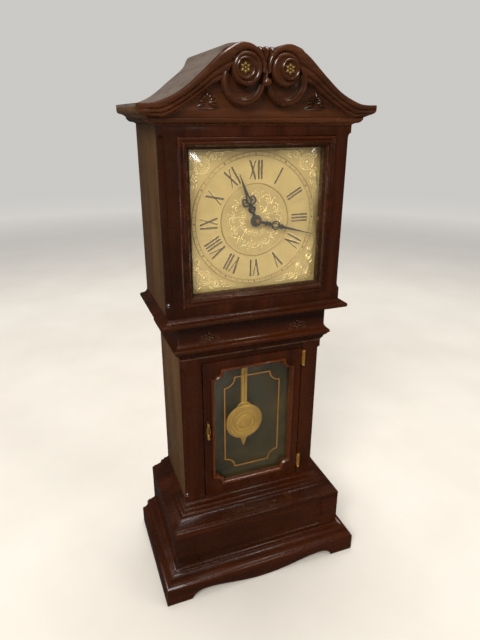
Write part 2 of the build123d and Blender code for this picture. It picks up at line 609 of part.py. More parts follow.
def movement_cover():
    """Rear cover with the bearing holes and the pivot pin that the pendulum hangs on."""
    cover = block(-HOUSING_HALF, HOUSING_HALF, COVER_BACK, HOUSING_BACK, HOUSING_LOW, COVER_TOP)
    cover += pin(0, PIVOT_Z, 1.5, 61.0, COVER_BACK) + pin(0, PIVOT_Z, 2.6, 60.0, 61.0)
    cover += pin(0, PIVOT_Z, 2.6, 67.6, COVER_BACK)
    x, z = motion_centre()
    cover -= pin(x, z, 0.75 + RUNNING_CLEARANCE, 72.8, 75)
    return cover - pin(0, DIAL_Z, ARBOR_RADIUS + RUNNING_CLEARANCE, 72, 75)


def mounting_nut():
    """Hexagon nut that clamps the dial on the bush."""
    face = RegularPolygon(5.5, 6, major_radius=False) - Circle(BUSH_RADIUS + 0.05)
    return slab(Pos(0, DIAL_Z) * face, DIAL_FRONT, 91.0)


def battery():
    """Cylindrical cell lying in the bay, with its small positive button."""
    cell = Cylinder(BATTERY_RADIUS, BATTERY_LENGTH, rotation=(0, 90, 0))
    cell += Pos(BATTERY_LENGTH / 2 + 0.4, 0, 0) * Cylinder(2.6, 0.8, rotation=(0, 90, 0))
    return Pos(-0.4, BACK_Y - BATTERY_DEPTH, BATTERY_Z) * cell


def minute_arbor():
    """Centre arbor with its pinion, from the setting knob to the hand nut."""
    arbor = pin(0, DIAL_Z, ARBOR_RADIUS, 64.5, 96.4)
    return arbor + gear(CANNON_TEETH, 4.0, 76.0, 78.4, phase=MOTION_ANGLE)


def motion_wheel():
    """Wheel and pinion on one arbor that carry the minute arbor's turn to the hour wheel."""
    pitch = CENTRE_DISTANCE * MOTION_WHEEL_TEETH / (CANNON_TEETH + MOTION_WHEEL_TEETH)
    pinion = CENTRE_DISTANCE * MOTION_PINION_TEETH / (MOTION_PINION_TEETH + HOUR_TEETH)
    facing = MOTION_ANGLE - 180.0
    half_gap = 180.0 / MOTION_WHEEL_TEETH
    x, z = motion_centre()
    train = gear(MOTION_WHEEL_TEETH, pitch, 76.0, 78.4, phase=facing + half_gap)
    train += gear(MOTION_PINION_TEETH, pinion, 78.4, 84.4, phase=facing)
    return Pos(x, 0, z - DIAL_Z) * train + pin(x, z, 0.75, 73.0, 87.8)


def hour_wheel():
    """Hour wheel on a tube that turns in the bush and carries the hour hand."""
    pitch = CENTRE_DISTANCE * HOUR_TEETH / (MOTION_PINION_TEETH + HOUR_TEETH)
    wheel = gear(HOUR_TEETH, pitch, 82.2, 84.2, phase=MOTION_ANGLE + 180.0 / HOUR_TEETH)
    wheel += pin(0, DIAL_Z, TUBE_RADIUS, 82.2, 92.4)
    return wheel - pin(0, DIAL_Z, ARBOR_RADIUS + RUNNING_CLEARANCE, 80, 95)


def setting_knob():
    """Ribbed knob on the back of the centre arbor."""
    face = Circle(6.4)
    for rib in range(18):
        face += Rot(0, 0, 20 * rib) * Pos(6.4, 0) * Rectangle(1.0, 1.1)
    knob = slab(Pos(0, DIAL_Z) * face, 64.0, 70.5)
    return knob - pin(0, DIAL_Z, ARBOR_RADIUS + 0.03, 64.4, 72)


# ---------------------------------------------------------------- pendulum
def pendulum_hanger():
    """Plastic arm that hangs on the pivot pin and hooks the rod."""
    face = Pos(0, PIVOT_Z) * Circle(4.6) + Pos(0, 357.0) * Rectangle(5.0, 34.0)
    arm = slab(face, 64.6, 66.6) - pin(0, PIVOT_Z, 1.5 + RUNNING_CLEARANCE, 60, 70)
    return arm + block(-2.5, 2.5, 63.4, 64.6, 340.0, 343.0)


def pendulum_rod():
    """Flat ribbed rod down to a pointed tail below the bob."""
    rod = block(-3.5, 3.5, 63.4, 64.6, 142.0, 339.8) + block(-3.5, 3.5, 62.2, 63.4, 336.0, 348.0)
    for x in (-1.75, 1.75):
        rod -= block(x - 0.35, x + 0.35, 64.3, 65, 150.0, 338.0)
    return rod + slab(polygon((-3.5, 142.0), (3.5, 142.0), (0.6, TAIL_Z), (-0.6, TAIL_Z)), 63.4, 64.6)


def pendulum_bob():
    """Round bob with raised rings, in front of the rod."""
    back, rim, field = 64.6, 66.2, 65.8
    return turned(0, BOB_Z, (0, back), (BOB_RADIUS, back), (BOB_RADIUS, rim), (20.6, 66.8), (19.2, field),
                  (16.4, field), (15.6, 66.4), (14.8, field), (11.4, field), (10.6, 66.4), (9.8, field),
                  (6.4, field), (5.6, 66.8), (4.2, 66.2), (0, 67.2))


def rear_cover():
    """Lift-off cover over the opening in the back board, with a finger notch."""
    cover = block(-48.7, 48.7, 0.2, 2.0, 326.3, 449.7)
    return cover - slab(Pos(0, 449.7) * Circle(7.0), -1, 3)


# ---------------------------------------------------------------- the whole clock
def make_pieces():
    pieces = {}
    screws = back_screws()
    pieces["back_board"] = back_board()
    pieces["base_front_rail"], pieces["base_left_rail"], pieces["base_right_rail"] = base_rails()
    pieces["base_board"] = block(-BASE_HALF + RAIL, BASE_HALF - RAIL, BACK_THICK, BASE_DEPTH - RAIL, 22, 30)
    pieces["plinth_front_panel"] = plinth_front()
    for name, side in (("left", -1), ("right", 1)):
        def board(half, depth, low, high):
            return block(*sorted((side * (half - WALL), side * half)), 0, depth, low, high)

        pieces[f"plinth_{name}_side"] = board(PLINTH_HALF, PLINTH_DEPTH - 10, BASE_TOP, PLINTH_TOP)
        pieces[f"trunk_{name}_side"] = board(TRUNK_HALF, TRUNK_DEPTH - WALL, TRUNK_BOTTOM, TRUNK_TOP)
        pieces[f"trunk_{name}_stile"] = trunk_stile(side)
        pieces[f"hood_{name}_side"] = board(HOOD_HALF, DIAL_FRONT, HOOD_BOTTOM, HOOD_TOP)
        pieces[f"cornice_{name}"] = side_cornice(side)
        neck = swan_neck(side)
        pieces[f"swan_neck_{name}"] = neck
        pieces[f"scroll_{name}"] = scroll(side, neck)
    pieces["plinth_top_board"] = plinth_top()
    pieces["frieze_board"] = frieze_board()
    strips = waist_moulding()
    for name, strip in zip(("front", "left", "right"), strips):
        pieces[f"waist_moulding_{name}"] = strip
    pieces["hood_base_board"] = hood_base()
    pieces["hood_front_frame"] = hood_frame()
    pieces["dial_bezel"] = dial_bezel()
    pieces["cornice_board"] = cornice_board()
    for name in ("base_board", "plinth_top_board", "hood_base_board", "cornice_board"):
        pieces[name] -= pieces["back_board"]
    for name in ("back_board", "base_board", "plinth_top_board", "hood_base_board", "cornice_board"):
        for one in screws:
            pieces[name] -= one
    pieces["back_screws"] = screws
    pieces["tympanum"] = tympanum()
    pieces["roof_panel"] = roof_panel()
    pieces["scroll_rosettes"] = [scroll_rosette(-1), scroll_rosette(1)]
    pieces["centre_bud"] = [centre_bud((pieces["swan_neck_left"], pieces["swan_neck_right"])), centre_ball()]
    flowers = [flower - pieces["waist_moulding_front"] for flower in frieze_rosettes()]
    pieces["carved_ornaments"] = [carved_leaf(-1), carved_leaf(1), *flowers]
    pieces["backdrop_board"] = block(-70.8, 70.8, 50.0, 51.5, TRUNK_BOTTOM, TRUNK_TOP)

    pieces["door_frame"] = door_frame()
    pieces["window_bead"] = window_bead()
    pieces["window_glass"] = block(-47.3, 47.3, GLASS_BACK, GLASS_FRONT, 106.2, 251.8)
    pieces["door_pull"] = door_pull()
    hinges = [hinge_parts(middle) for middle in HINGE_HEIGHTS]
    pieces["case_hinge_leaves"] = [fixed for fixed, _ in hinges]
    pieces["door_hinge_leaves"] = [swing for _, swing in hinges]

    pieces["dial_plate"] = dial_plate()
    pieces["dial_lens"] = dial_lens()
    pieces["hour_hand"] = hour_hand()
    pieces["minute_hand"] = minute_hand()
    pieces["hand_nut"] = hand_nut()
    pieces["movement_housing"] = movement_housing()
    pieces["movement_cover"] = movement_cover()
    pieces["mounting_nut"] = mounting_nut()
    pieces["battery"] = battery()
    pieces["minute_arbor"] = minute_arbor()
    pieces["motion_wheel"] = motion_wheel()
    pieces["hour_wheel"] = hour_wheel()
    pieces["setting_knob"] = setting_knob()
    pieces["pendulum_hanger"] = pendulum_hanger()
    pieces["pendulum_rod"] = pendulum_rod()
    pieces["pendulum_bob"] = pendulum_bob()
    pieces["rear_cover"] = rear_cover()
    return pieces


def write(name, shape):
    """Writes one piece, or a group of loose ones, as its own STEP file."""
    solids = []
    for one in shape if isinstance(shape, list) else [shape]:
        solids.extend(one.solids())
    result = solids[0] if len(solids) == 1 else Compound(solids)
    export_step(result, os.path.join("parts", f"{name}.step"))
    print(name, len(solids))


os.makedirs("parts", exist_ok=True)
for piece_name, piece in make_pieces().items():
    write(piece_name, piece)
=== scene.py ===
import math

import bmesh
import bpy
from mathutils import Matrix, Quaternion, Vector


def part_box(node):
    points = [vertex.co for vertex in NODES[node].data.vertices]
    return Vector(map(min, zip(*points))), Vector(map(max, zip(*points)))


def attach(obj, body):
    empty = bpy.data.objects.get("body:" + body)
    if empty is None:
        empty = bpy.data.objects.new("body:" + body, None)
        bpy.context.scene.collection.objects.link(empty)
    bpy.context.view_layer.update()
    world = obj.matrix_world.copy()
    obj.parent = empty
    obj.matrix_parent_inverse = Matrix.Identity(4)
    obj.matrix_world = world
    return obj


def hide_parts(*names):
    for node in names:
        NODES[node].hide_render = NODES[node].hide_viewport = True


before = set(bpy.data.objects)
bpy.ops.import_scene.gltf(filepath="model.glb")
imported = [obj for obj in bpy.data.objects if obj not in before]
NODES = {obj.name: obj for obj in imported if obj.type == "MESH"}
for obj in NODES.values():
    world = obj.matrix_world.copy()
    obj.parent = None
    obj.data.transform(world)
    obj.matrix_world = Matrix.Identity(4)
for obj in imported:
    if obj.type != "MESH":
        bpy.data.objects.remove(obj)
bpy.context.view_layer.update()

MM = 0.001
BACK_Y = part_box("back_board")[1].y


# ------------------------ places taken from the frame
def span(node):
    """A CAD node's extents in clock space: (x, x), (depth, depth), (height, height)."""
    low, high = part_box(node)
    return ((low.x / MM, high.x / MM), ((BACK_Y - high.y) / MM, (BACK_Y - low.y) / MM),
            (low.z / MM, high.z / MM))


def middle(pair):
    return (pair[0] + pair[1]) / 2


DIAL_X, DIAL_Z = middle(span("dial_plate")[0]), middle(span("dial_plate")[2])
DIAL_FACE = span("mounting_nut")[1][0]
TYMPANUM = span("tympanum")[1][1]
CORNICE_TOP = span("cornice_board")[2][1]
ROOF_HALF = span("roof_panel")[0][1]
CREST = span("roof_panel")[2][1]


# ------------------------ flat paths: lists of (x, height)
def arc(x, z, radius, start, end, steps=24):
    """Points on a circle from one angle to another, in degrees."""
    angles = [math.radians(start + (end - start) * i / steps) for i in range(steps + 1)]
    return [(x + radius * math.cos(a), z + radius * math.sin(a)) for a in angles]


def ring(x, z, radius, steps=96):
    return arc(x, z, radius, 0, 360, steps)[:-1]


def spiral(x, z, outer, inner, start, turns, steps=28):
    """A curl that closes in from its outer to its inner radius."""
    points = []
    for i in range(steps + 1):
        share = i / steps
        radius = outer + (inner - outer) * share
        angle = math.radians(start) + 2 * math.pi * turns * share
        points.append((x + radius * math.cos(angle), z + radius * math.sin(angle)))
    return points


def flow(points, steps=8):
    """A smooth curve through the points."""
    knots = [Vector(p) for p in points]
    knots = [2 * knots[0] - knots[1]] + knots + [2 * knots[-1] - knots[-2]]
    out = []
    for a, b, c, d in zip(knots, knots[1:], knots[2:], knots[3:]):
        for i in range(steps):
            t = i / steps
            p = 0.5 * (2 * b + (c - a) * t + (2 * a - 5 * b + 4 * c - d) * t * t
                       + (3 * b - a - 3 * c + d) * t ** 3)
            out.append((p.x, p.y))
    out.append(tuple(points[-1]))
    return out


def turned(path, degrees):
    """The path turned clockwise about the origin."""
    c, s = math.cos(math.radians(degrees)), math.sin(math.radians(degrees))
    return [(x * c + z * s, z * c - x * s) for x, z in path]


# ------------------------ solids: (vertices, faces) in clock space
HALF_ROUND = [(math.cos(math.radians(a)), math.sin(math.radians(a))) for a in range(180, -1, -30)]
FLAT_BAR = [(-1.0, 0.0), (-1.0, 0.7), (-0.8, 1.0), (0.8, 1.0), (1.0, 0.7), (1.0, 0.0)]


def sweep(path, section, base, closed=False, sizes=None):
    """Carries a section of (across, height) points along a flat path, mitred at its corners."""
    points = [Vector(p) for p in path]
    count, width = len(points), len(section)
    vertices = []
    for i, p in enumerate(points):
        before = points[i - 1] if closed or i else None
        after = points[(i + 1) % count] if closed or i < count - 1 else None
        arriving = (p - before if before is not None else after - p).normalized()
        leaving = (after - p).normalized() if after is not None else arriving
        side_in, side_out = Vector((-arriving.y, arriving.x)), Vector((-leaving.y, leaving.x))
        side = (side_in + side_out).normalized()
        side /= max(side.dot(side_in), 0.4)
        size = sizes[i] if sizes else 1.0
        vertices += [(p.x + side.x * a * size, base + h * size, p.y + side.y * a * size) for a, h in section]
    faces = []
    for i in range(count if closed else count - 1):
        here, there = i * width, (i + 1) % count * width
        for k in range(width):
            n = (k + 1) % width
            faces.append((here + k, here + n, there + n, there + k))
    if not closed:
        faces += [tuple(range(width)), tuple(range((count - 1) * width, count * width))]
    return vertices, faces


def scaled(section, across, height):
    return [(a * across, h * height) for a, h in section]


def stroke(path, half, height, base, taper=(0.35, 1.0, 0.25)):
    """A raised half-round line that thins towards its ends."""
    last = len(path) - 1
    start, full, end = taper
    sizes = []
    for i in range(last + 1):
        share = i / last
        grow = math.sin(math.pi * min(1.0, share * 1.6) / 2) * (full - start) + start
        fade = math.sin(math.pi * min(1.0, (1 - share) * 1.6) / 2) * (full - end) + end
        sizes.append(min(grow, fade))
    return sweep(path, scaled(HALF_ROUND, half, height), base, sizes=sizes)


def fan(x, z, profile, start, end, segments=60):
    """Part of a turned solid, between two angles. profile is a closed loop of (radius, depth) points."""
    width, vertices = len(profile), []
    for s in range(segments + 1):
        a = math.radians(start + (end - start) * s / segments)
        vertices += [(x + r * math.cos(a), d, z + r * math.sin(a)) for r, d in profile]
    faces = [(s * width + k, s * width + (k + 1) % width, (s + 1) * width + (k + 1) % width, (s + 1) * width + k)
             for s in range(segments) for k in range(width)]
    return vertices, faces + [tuple(range(width)), tuple(range(segments * width, (segments + 1) * width))]


def lathe(x, z, profile, segments=48):
    """A turned solid whose axis runs front to back. profile is (radius, depth) points; a radius of 0 closes it."""
    vertices, rows = [], []
    for radius, depth in profile:
        if radius < 1e-6:
            rows.append([len(vertices)])
            vertices.append((x, depth, z))
            continue
        rows.append(list(range(len(vertices), len(vertices) + segments)))
        for s in range(segments):
            a = 2 * math.pi * s / segments
            vertices.append((x + radius * math.cos(a), depth, z + radius * math.sin(a)))
    faces = []
    for low, high in zip(rows, rows[1:]):
        for s in range(segments):
            n = (s + 1) % segments
            if len(low) == 1:
                faces.append((low[0], high[s], high[n]))
            elif len(high) == 1:
                faces.append((low[s], high[0], low[n]))
            else:
                faces.append((low[s], low[n], high[n], high[s]))
    return vertices, faces + [tuple(row) for row in (rows[0], rows[-1]) if len(row) > 1]


def bead(x, z, base, radius, height=None, segments=16):
    """A small raised dot."""
    height = radius if height is None else height
    steps = [(radius * math.cos(math.radians(a)), base + height * math.sin(math.radians(a)))
             for a in range(0, 90, 18)]
    return lathe(x, z, [(0, base), *steps, (0, base + height)], segments)


def spindle(x, depth, profile):
    """A turned solid whose axis is upright. profile is (radius, height) points."""
    vertices, faces = lathe(0, 0, [(r, -z) for r, z in profile], 24)
    return [(x + vx, depth + vz, -vd) for vx, vd, vz in vertices], faces


def joined(solids):
    vertices, faces = [], []
    for own_vertices, own_faces in solids:
        start = len(vertices)
        vertices += own_vertices
        faces += [tuple(start + i for i in face) for face in own_faces]
    return vertices, faces


# ------------------------ objects
def smooth_group():
    """Geometry nodes that shade smooth except across edges sharper than 35 degrees."""
    group = bpy.data.node_groups.new("smooth_by_angle", "GeometryNodeTree")
    group.interface.new_socket("Geometry", in_out="INPUT", socket_type="NodeSocketGeometry")
    group.interface.new_socket("Geometry", in_out="OUTPUT", socket_type="NodeSocketGeometry")
    start, end = group.nodes.new("NodeGroupInput"), group.nodes.new("NodeGroupOutput")
    angle = group.nodes.new("GeometryNodeInputMeshEdgeAngle")
    sharp = group.nodes.new("FunctionNodeCompare")
    sharp.operation = "LESS_EQUAL"
    sharp.inputs[1].default_value = math.radians(35)
    all_faces = group.nodes.new("GeometryNodeSetShadeSmooth")
    edges = group.nodes.new("GeometryNodeSetShadeSmooth")
    edges.domain = "EDGE"
    group.links.new(angle.outputs["Unsigned Angle"], sharp.inputs[0])
    group.links.new(start.outputs[0], all_faces.inputs["Geometry"])
    group.links.new(all_faces.outputs[0], edges.inputs["Geometry"])
    group.links.new(sharp.outputs[0], edges.inputs["Shade Smooth"])
    group.links.new(edges.outputs[0], end.inputs[0])
    return group


SMOOTH = smooth_group()


def soften(obj, width=None):
    """Shades an object smooth, and rounds its sharp edges by a width in millimetres if one is given."""
    weld = obj.modifiers.new("weld", "WELD")
    weld.merge_threshold = 0.00001
    if width:
        merge = obj.modifiers.new("merge flat faces", "DECIMATE")
        merge.decimate_type = "DISSOLVE"
        merge.angle_limit = math.radians(0.05)
        bevel = obj.modifiers.new("round edges", "BEVEL")
        bevel.width = width * MM
        bevel.segments = 2
        bevel.limit_method = "ANGLE"
        bevel.angle_limit = math.radians(40)
        bevel.miter_outer = "MITER_ARC"
        bevel.use_clamp_overlap = True
    shade = obj.modifiers.new("smooth by angle", "NODES")
    shade.node_group = SMOOTH


def piece(name, solids, material, body, stands_for=()):
    """Makes one Blender object of solids in clock space and lets it ride on a body."""
    vertices, faces = joined(solids)
    mesh = bpy.data.meshes.new(name)
    mesh.from_pydata([(x * MM, BACK_Y - d * MM, z * MM) for x, d, z in vertices], [], faces)
    shape = bmesh.new()
    shape.from_mesh(mesh)
    bmesh.ops.recalc_face_normals(shape, faces=shape.faces)
    shape.to_mesh(mesh)
    shape.free()
    mesh.materials.append(material)
    obj = bpy.data.objects.new(name, mesh)
    bpy.context.scene.collection.objects.link(obj)
    soften(obj)
    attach(obj, body)
    if stands_for:
        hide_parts(*stands_for)


# ------------------------ material building blocks
class Graph:
    """A material's node tree around one Principled shader."""

    def __init__(self, name):
        self.material = bpy.data.materials.new(name)
        self.material.use_nodes = True
        self.tree = self.material.node_tree
        self.tree.nodes.clear()
        self.shader = self.add("ShaderNodeBsdfPrincipled")
        self.output = self.add("ShaderNodeOutputMaterial")
        self.join(self.shader.outputs[0], self.output.inputs["Surface"])
        self.place = self.add("ShaderNodeTexCoord").outputs["Object"]

    def add(self, kind, **settings):
        node = self.tree.nodes.new(kind)
        for key, value in settings.items():
            setattr(node, key, value)
        return node

    def join(self, source, target):
        self.tree.links.new(source, target)

    def feed(self, target, value):
        if isinstance(value, bpy.types.NodeSocket):
            self.join(value, target)
        else:
            target.default_value = value

    def set(self, **values):
        """Sets the shader's sockets: words are joined by _, and a socket is linked."""
        for key, value in values.items():
            self.feed(self.shader.inputs[key.replace("_", " ")], value)

    def noise(self, scale, detail=4.0, distortion=0.0, stretch=(1, 1, 1), shift=(0, 0, 0)):
        """Noise whose scale is waves per metre, times the stretch along each axis."""
        mapping = self.add("ShaderNodeMapping")
        mapping.inputs["Scale"].default_value = stretch
        mapping.inputs["Location"].default_value = shift
        self.join(self.place, mapping.inputs["Vector"])
        texture = self.add("ShaderNodeTexNoise")
        self.join(mapping.outputs[0], texture.inputs["Vector"])
        texture.inputs["Scale"].default_value = scale
        texture.inputs["Detail"].default_value = detail
        texture.inputs["Roughness"].default_value = 0.55
        texture.inputs["Distortion"].default_value = distortion
        return texture.outputs["Fac"]

    def ramp(self, value, low, high, to_low=0.0, to_high=1.0):
        """Maps low..high to to_low..to_high, held at the ends."""
        node = self.add("ShaderNodeMapRange")
        node.clamp = True
        self.feed(node.inputs["Value"], value)
        for name, number in zip(("From Min", "From Max", "To Min", "To Max"), (low, high, to_low, to_high)):
            node.inputs[name].default_value = number
        return node.outputs[0]

    def mix(self, share, a, b):
        node = self.add("ShaderNodeMix", data_type="RGBA")
        self.feed(node.inputs[0], share)
        self.feed(node.inputs[6], a)
        self.feed(node.inputs[7], b)
        return node.outputs[2]

    def math(self, operation, a, b):
        node = self.add("ShaderNodeMath", operation=operation)
        self.feed(node.inputs[0], a)
        self.feed(node.inputs[1], b)
        return node.outputs[0]

    def bump(self, height, distance):
        """Gives the shader a bump, its depth in metres."""
        node = self.add("ShaderNodeBump")
        node.inputs["Distance"].default_value = distance
        node.inputs["Strength"].default_value = 1.0
        self.feed(node.inputs["Height"], height)
        self.join(node.outputs[0], self.shader.inputs["Normal"])

    def edges(self):
        """Near 1 on outer edges, which get rubbed wear and a painted highlight: the share of a short inward look that
        meets the piece's own surface.
        """
        node = self.add("ShaderNodeAmbientOcclusion", inside=True, only_local=True, samples=12)
        node.inputs["Distance"].default_value = EDGE_REACH
        return self.math("SUBTRACT", 1.0, node.outputs["AO"])


EDGE_REACH = 0.0009


def rgb(red, green, blue):
    return (red, green, blue, 1.0)


AXES = {"x": (0.07, 1.0, 1.0), "y": (1.0, 0.07, 1.0), "z": (1.0, 1.0, 0.07)}


def wood(name, grain, dark, light, worn_and_highlit, gloss=0.24, shine=0.5, flecks=0.0, wear_and_highlight=0.6):
    """Stained and lacquered wood with its grain along one axis, short dark pores, and outer edges lightened as rubbed
    wear and as a painted highlight.
    """
    g = Graph(name)
    stretch = AXES[grain]
    figure = g.noise(46, detail=6, distortion=0.9, stretch=stretch)
    fine = g.noise(420, detail=3, stretch=stretch, shift=(0.3, 0.7, 0.1))
    pores = g.ramp(g.noise(1500, detail=2, stretch=tuple(s * s * 6 if s < 1 else s for s in stretch)), 0.60, 0.70)
    cloud = g.ramp(g.noise(14, detail=3), 0.35, 0.7)
    colour = g.mix(g.ramp(figure, 0.34, 0.68), dark, light)
    colour = g.mix(g.ramp(fine, 0.4, 0.75, 0.0, 0.45), colour, dark)
    colour = g.mix(g.math("MULTIPLY", cloud, 0.35), colour, light)
    colour = g.mix(g.math("MULTIPLY", pores, 0.45 + flecks), colour, rgb(0.008, 0.005, 0.004))
    if wear_and_highlight:
        # Outer edges lightened: partly rubbed wear, partly a painted highlight along the arrises.
        rub_and_highlight = g.math("MULTIPLY", g.ramp(g.edges(), 0.50, 0.70), g.ramp(g.noise(190, detail=5), 0.30, 0.66))
        colour = g.mix(g.math("MULTIPLY", rub_and_highlight, wear_and_highlight), colour, worn_and_highlit)
    g.set(Base_Color=colour)
    smear = g.ramp(g.noise(70, detail=5, distortion=0.5), 0.3, 0.7, gloss - 0.07, gloss + 0.10)
    g.set(Roughness=g.math("ADD", smear, g.math("MULTIPLY", pores, 0.15)))
    g.set(Coat_Weight=shine * 0.4, Coat_Roughness=0.12, Specular_IOR_Level=shine)
    g.bump(pores, -0.000003)
    return g.material


def metal(name, colour, tarnish, rough=0.25, metallic=1.0, scale=220, pits=0.00003):
    """Gilt, brass or steel: slow stains, fine scratches and faint pits."""
    g = Graph(name)
    stain = g.ramp(g.noise(scale * 0.35, detail=6, distortion=0.6), 0.40, 0.72)
    speck = g.ramp(g.noise(scale * 5, detail=2), 0.62, 0.72)
    mixed = g.mix(g.math("MULTIPLY", stain, 0.6), colour, tarnish)
    g.set(Base_Color=g.mix(g.math("MULTIPLY", speck, 0.35), mixed, tarnish), Metallic=metallic)
    scratches = g.noise(scale * 8, detail=2, stretch=(1, 1, 0.15))
    marks = g.math("ADD", g.math("MULTIPLY", stain, 0.5), scratches)
    g.set(Roughness=g.ramp(marks, 0.3, 1.1, rough - 0.05, rough + 0.16))
    g.bump(g.noise(scale * 2.2, detail=3), pits)
    return g.material


def plain(name, colour, other, rough=0.5, scale=500, depth=0.00004, coat=0.0):
    """Paint, plastic or board with a mottled colour and a fine moulded texture."""
    g = Graph(name)
    g.set(Base_Color=g.mix(g.ramp(g.noise(scale * 0.12, detail=6), 0.35, 0.68), colour, other))
    g.set(Roughness=g.ramp(g.noise(scale * 0.3, detail=3), 0.3, 0.7, rough - 0.06, rough + 0.08))
    g.set(Coat_Weight=coat)
    g.bump(g.noise(scale, detail=3), depth)
    return g.material


def glass(name, tint, shine=1.0):
    """A thin clear sheet: it hardly bends what is behind it and shines like glass."""
    g = Graph(name)
    g.set(Base_Color=tint, Roughness=0.0, IOR=1.003, Transmission_Weight=1.0)
    g.set(Coat_Weight=shine, Coat_Roughness=0.045, Coat_IOR=1.45)
    clear = g.add("ShaderNodeBsdfTransparent")
    clear.inputs[0].default_value = tint
    path = g.add("ShaderNodeLightPath")
    either = g.add("ShaderNodeMixShader")
    g.join(path.outputs["Is Shadow Ray"], either.inputs[0])
    g.join(g.shader.outputs[0], either.inputs[1])
    g.join(clear.outputs[0], either.inputs[2])
    g.join(either.outputs[0], g.output.inputs["Surface"])
    return g.material


# ------------------------ materials
MAHOGANY_DARK, MAHOGANY_LIGHT = rgb(0.0135, 0.0029, 0.0006), rgb(0.045, 0.0093, 0.0014)
# Lighter colour for outer edges: rubbed wear and a painted highlight along the arrises.
MAHOGANY_WORN_AND_HIGHLIT = rgb(0.15, 0.082, 0.042)
SIDE_DARK, SIDE_LIGHT = rgb(0.064, 0.030, 0.011), rgb(0.135, 0.070, 0.029)
FRONT = {axis: wood(f"mahogany_{axis}", axis, MAHOGANY_DARK, MAHOGANY_LIGHT, MAHOGANY_WORN_AND_HIGHLIT) for axis in "xyz"}
# A lighter copy of the front mahogany for the cornice and pediment: painted light, because the top of the clock is
# more brightly lit.
PEDIMENT_PAINTED_LIGHTER = wood("mahogany_pediment_painted_lighter", "x", rgb(0.026, 0.0078, 0.0024), rgb(0.084, 0.0255, 0.0076), MAHOGANY_WORN_AND_HIGHLIT)
SIDES = {axis: wood(f"side_veneer_{axis}", axis, SIDE_DARK, SIDE_LIGHT, rgb(0.22, 0.15, 0.10), gloss=0.38,
                    shine=0.3, flecks=0.45, wear_and_highlight=0.5) for axis in "yz"}
# The roof's wood is lighter and greyer than the side veneer: a painted sheen standing in for the bright reflection on
# its top.
ROOF_PAINTED_SHEEN = wood("roof_veneer_painted_sheen", "y", rgb(0.125, 0.090, 0.072), rgb(0.21, 0.165, 0.138), rgb(0.26, 0.2, 0.16), gloss=0.30,
            shine=0.6, flecks=0.2, wear_and_highlight=0.5)
BOARD = wood("inner_board", "z", rgb(0.16, 0.09, 0.045), rgb(0.30, 0.19, 0.10), rgb(0.35, 0.25, 0.15), gloss=0.62,
             shine=0.15, wear_and_highlight=0.3)
GREEN = plain("backdrop_green", rgb(0.022, 0.016, 0.0020), rgb(0.048, 0.027, 0.0036), rough=0.6, scale=420,
              depth=0.00001)
# A lighter copy of the mahogany for the window bead: a painted highlight along the bead.
BEADING_PAINTED_HIGHLIGHT = wood("mahogany_beading_painted_highlight", "z", rgb(0.030, 0.0070, 0.0018), rgb(0.095, 0.0225, 0.0050), MAHOGANY_WORN_AND_HIGHLIT,
               gloss=0.16, shine=0.9, wear_and_highlight=0)
CARVED = wood("mahogany_carved", "x", rgb(0.016, 0.005, 0.0016), rgb(0.075, 0.027, 0.010), MAHOGANY_WORN_AND_HIGHLIT,
              shine=0.3, wear_and_highlight=0.4)
DIAL_GILT = metal("dial_gilt", rgb(0.43, 0.315, 0.125), rgb(0.34, 0.24, 0.09), rough=0.45, metallic=0.35, scale=160,
                  pits=0.00001)
MATTED_GILT = metal("matted_gilt", rgb(0.36, 0.265, 0.105), rgb(0.29, 0.205, 0.075), rough=0.55, metallic=0.3,
                    scale=240)
RING_GILT = metal("ring_gilt", rgb(0.27, 0.185, 0.065), rgb(0.46, 0.34, 0.14), rough=0.35, metallic=0.6)
RELIEF_GILT = metal("relief_gilt", rgb(0.86, 0.70, 0.36), rgb(0.46, 0.35, 0.14), rough=0.22, metallic=0.8)
BRASS = metal("brass", rgb(0.66, 0.35, 0.085), rgb(0.36, 0.17, 0.035), rough=0.3, metallic=0.8)
OLD_GILT = metal("old_gilt", rgb(0.34, 0.21, 0.065), rgb(0.12, 0.06, 0.02), rough=0.42, metallic=0.7)
COPPER = metal("worn_copper", rgb(0.22, 0.125, 0.045), rgb(0.10, 0.06, 0.02), rough=0.35, metallic=0.85)
BOB_BRASS = metal("pendulum_brass", rgb(0.31, 0.175, 0.028), rgb(0.22, 0.12, 0.018), rough=0.42, metallic=0.5)
STEEL = metal("steel", rgb(0.52, 0.52, 0.53), rgb(0.30, 0.29, 0.28), rough=0.3)
BLACK = plain("black_paint", rgb(0.012, 0.011, 0.010), rgb(0.03, 0.026, 0.02), rough=0.38, scale=700)
INK = plain("numeral_black", rgb(0.070, 0.045, 0.018), rgb(0.105, 0.070, 0.030), rough=0.6, scale=900)
GOLD_LINE = plain("gold_line", rgb(0.30, 0.14, 0.016), rgb(0.23, 0.10, 0.011), rough=0.4, scale=900)
PLASTIC = plain("movement_plastic", rgb(0.018, 0.018, 0.019), rgb(0.03, 0.03, 0.032), rough=0.48, scale=900)
GEAR = plain("gear_plastic", rgb(0.62, 0.60, 0.53), rgb(0.72, 0.70, 0.64), rough=0.35, scale=600)
CELL = plain("battery_sleeve", rgb(0.02, 0.025, 0.03), rgb(0.03, 0.035, 0.04), rough=0.3, scale=500, coat=0.3)
LENS = glass("lens_clear", rgb(0.97, 0.98, 0.97))
PANE = glass("window_clear", rgb(0.93, 0.95, 0.92), shine=0.5)


# ------------------------ CAD nodes that keep their shape
def finish_node(name, material, bevel=None):
    obj = NODES[name]
    obj.data.materials.clear()
    obj.data.materials.append(material)
    soften(obj, bevel)


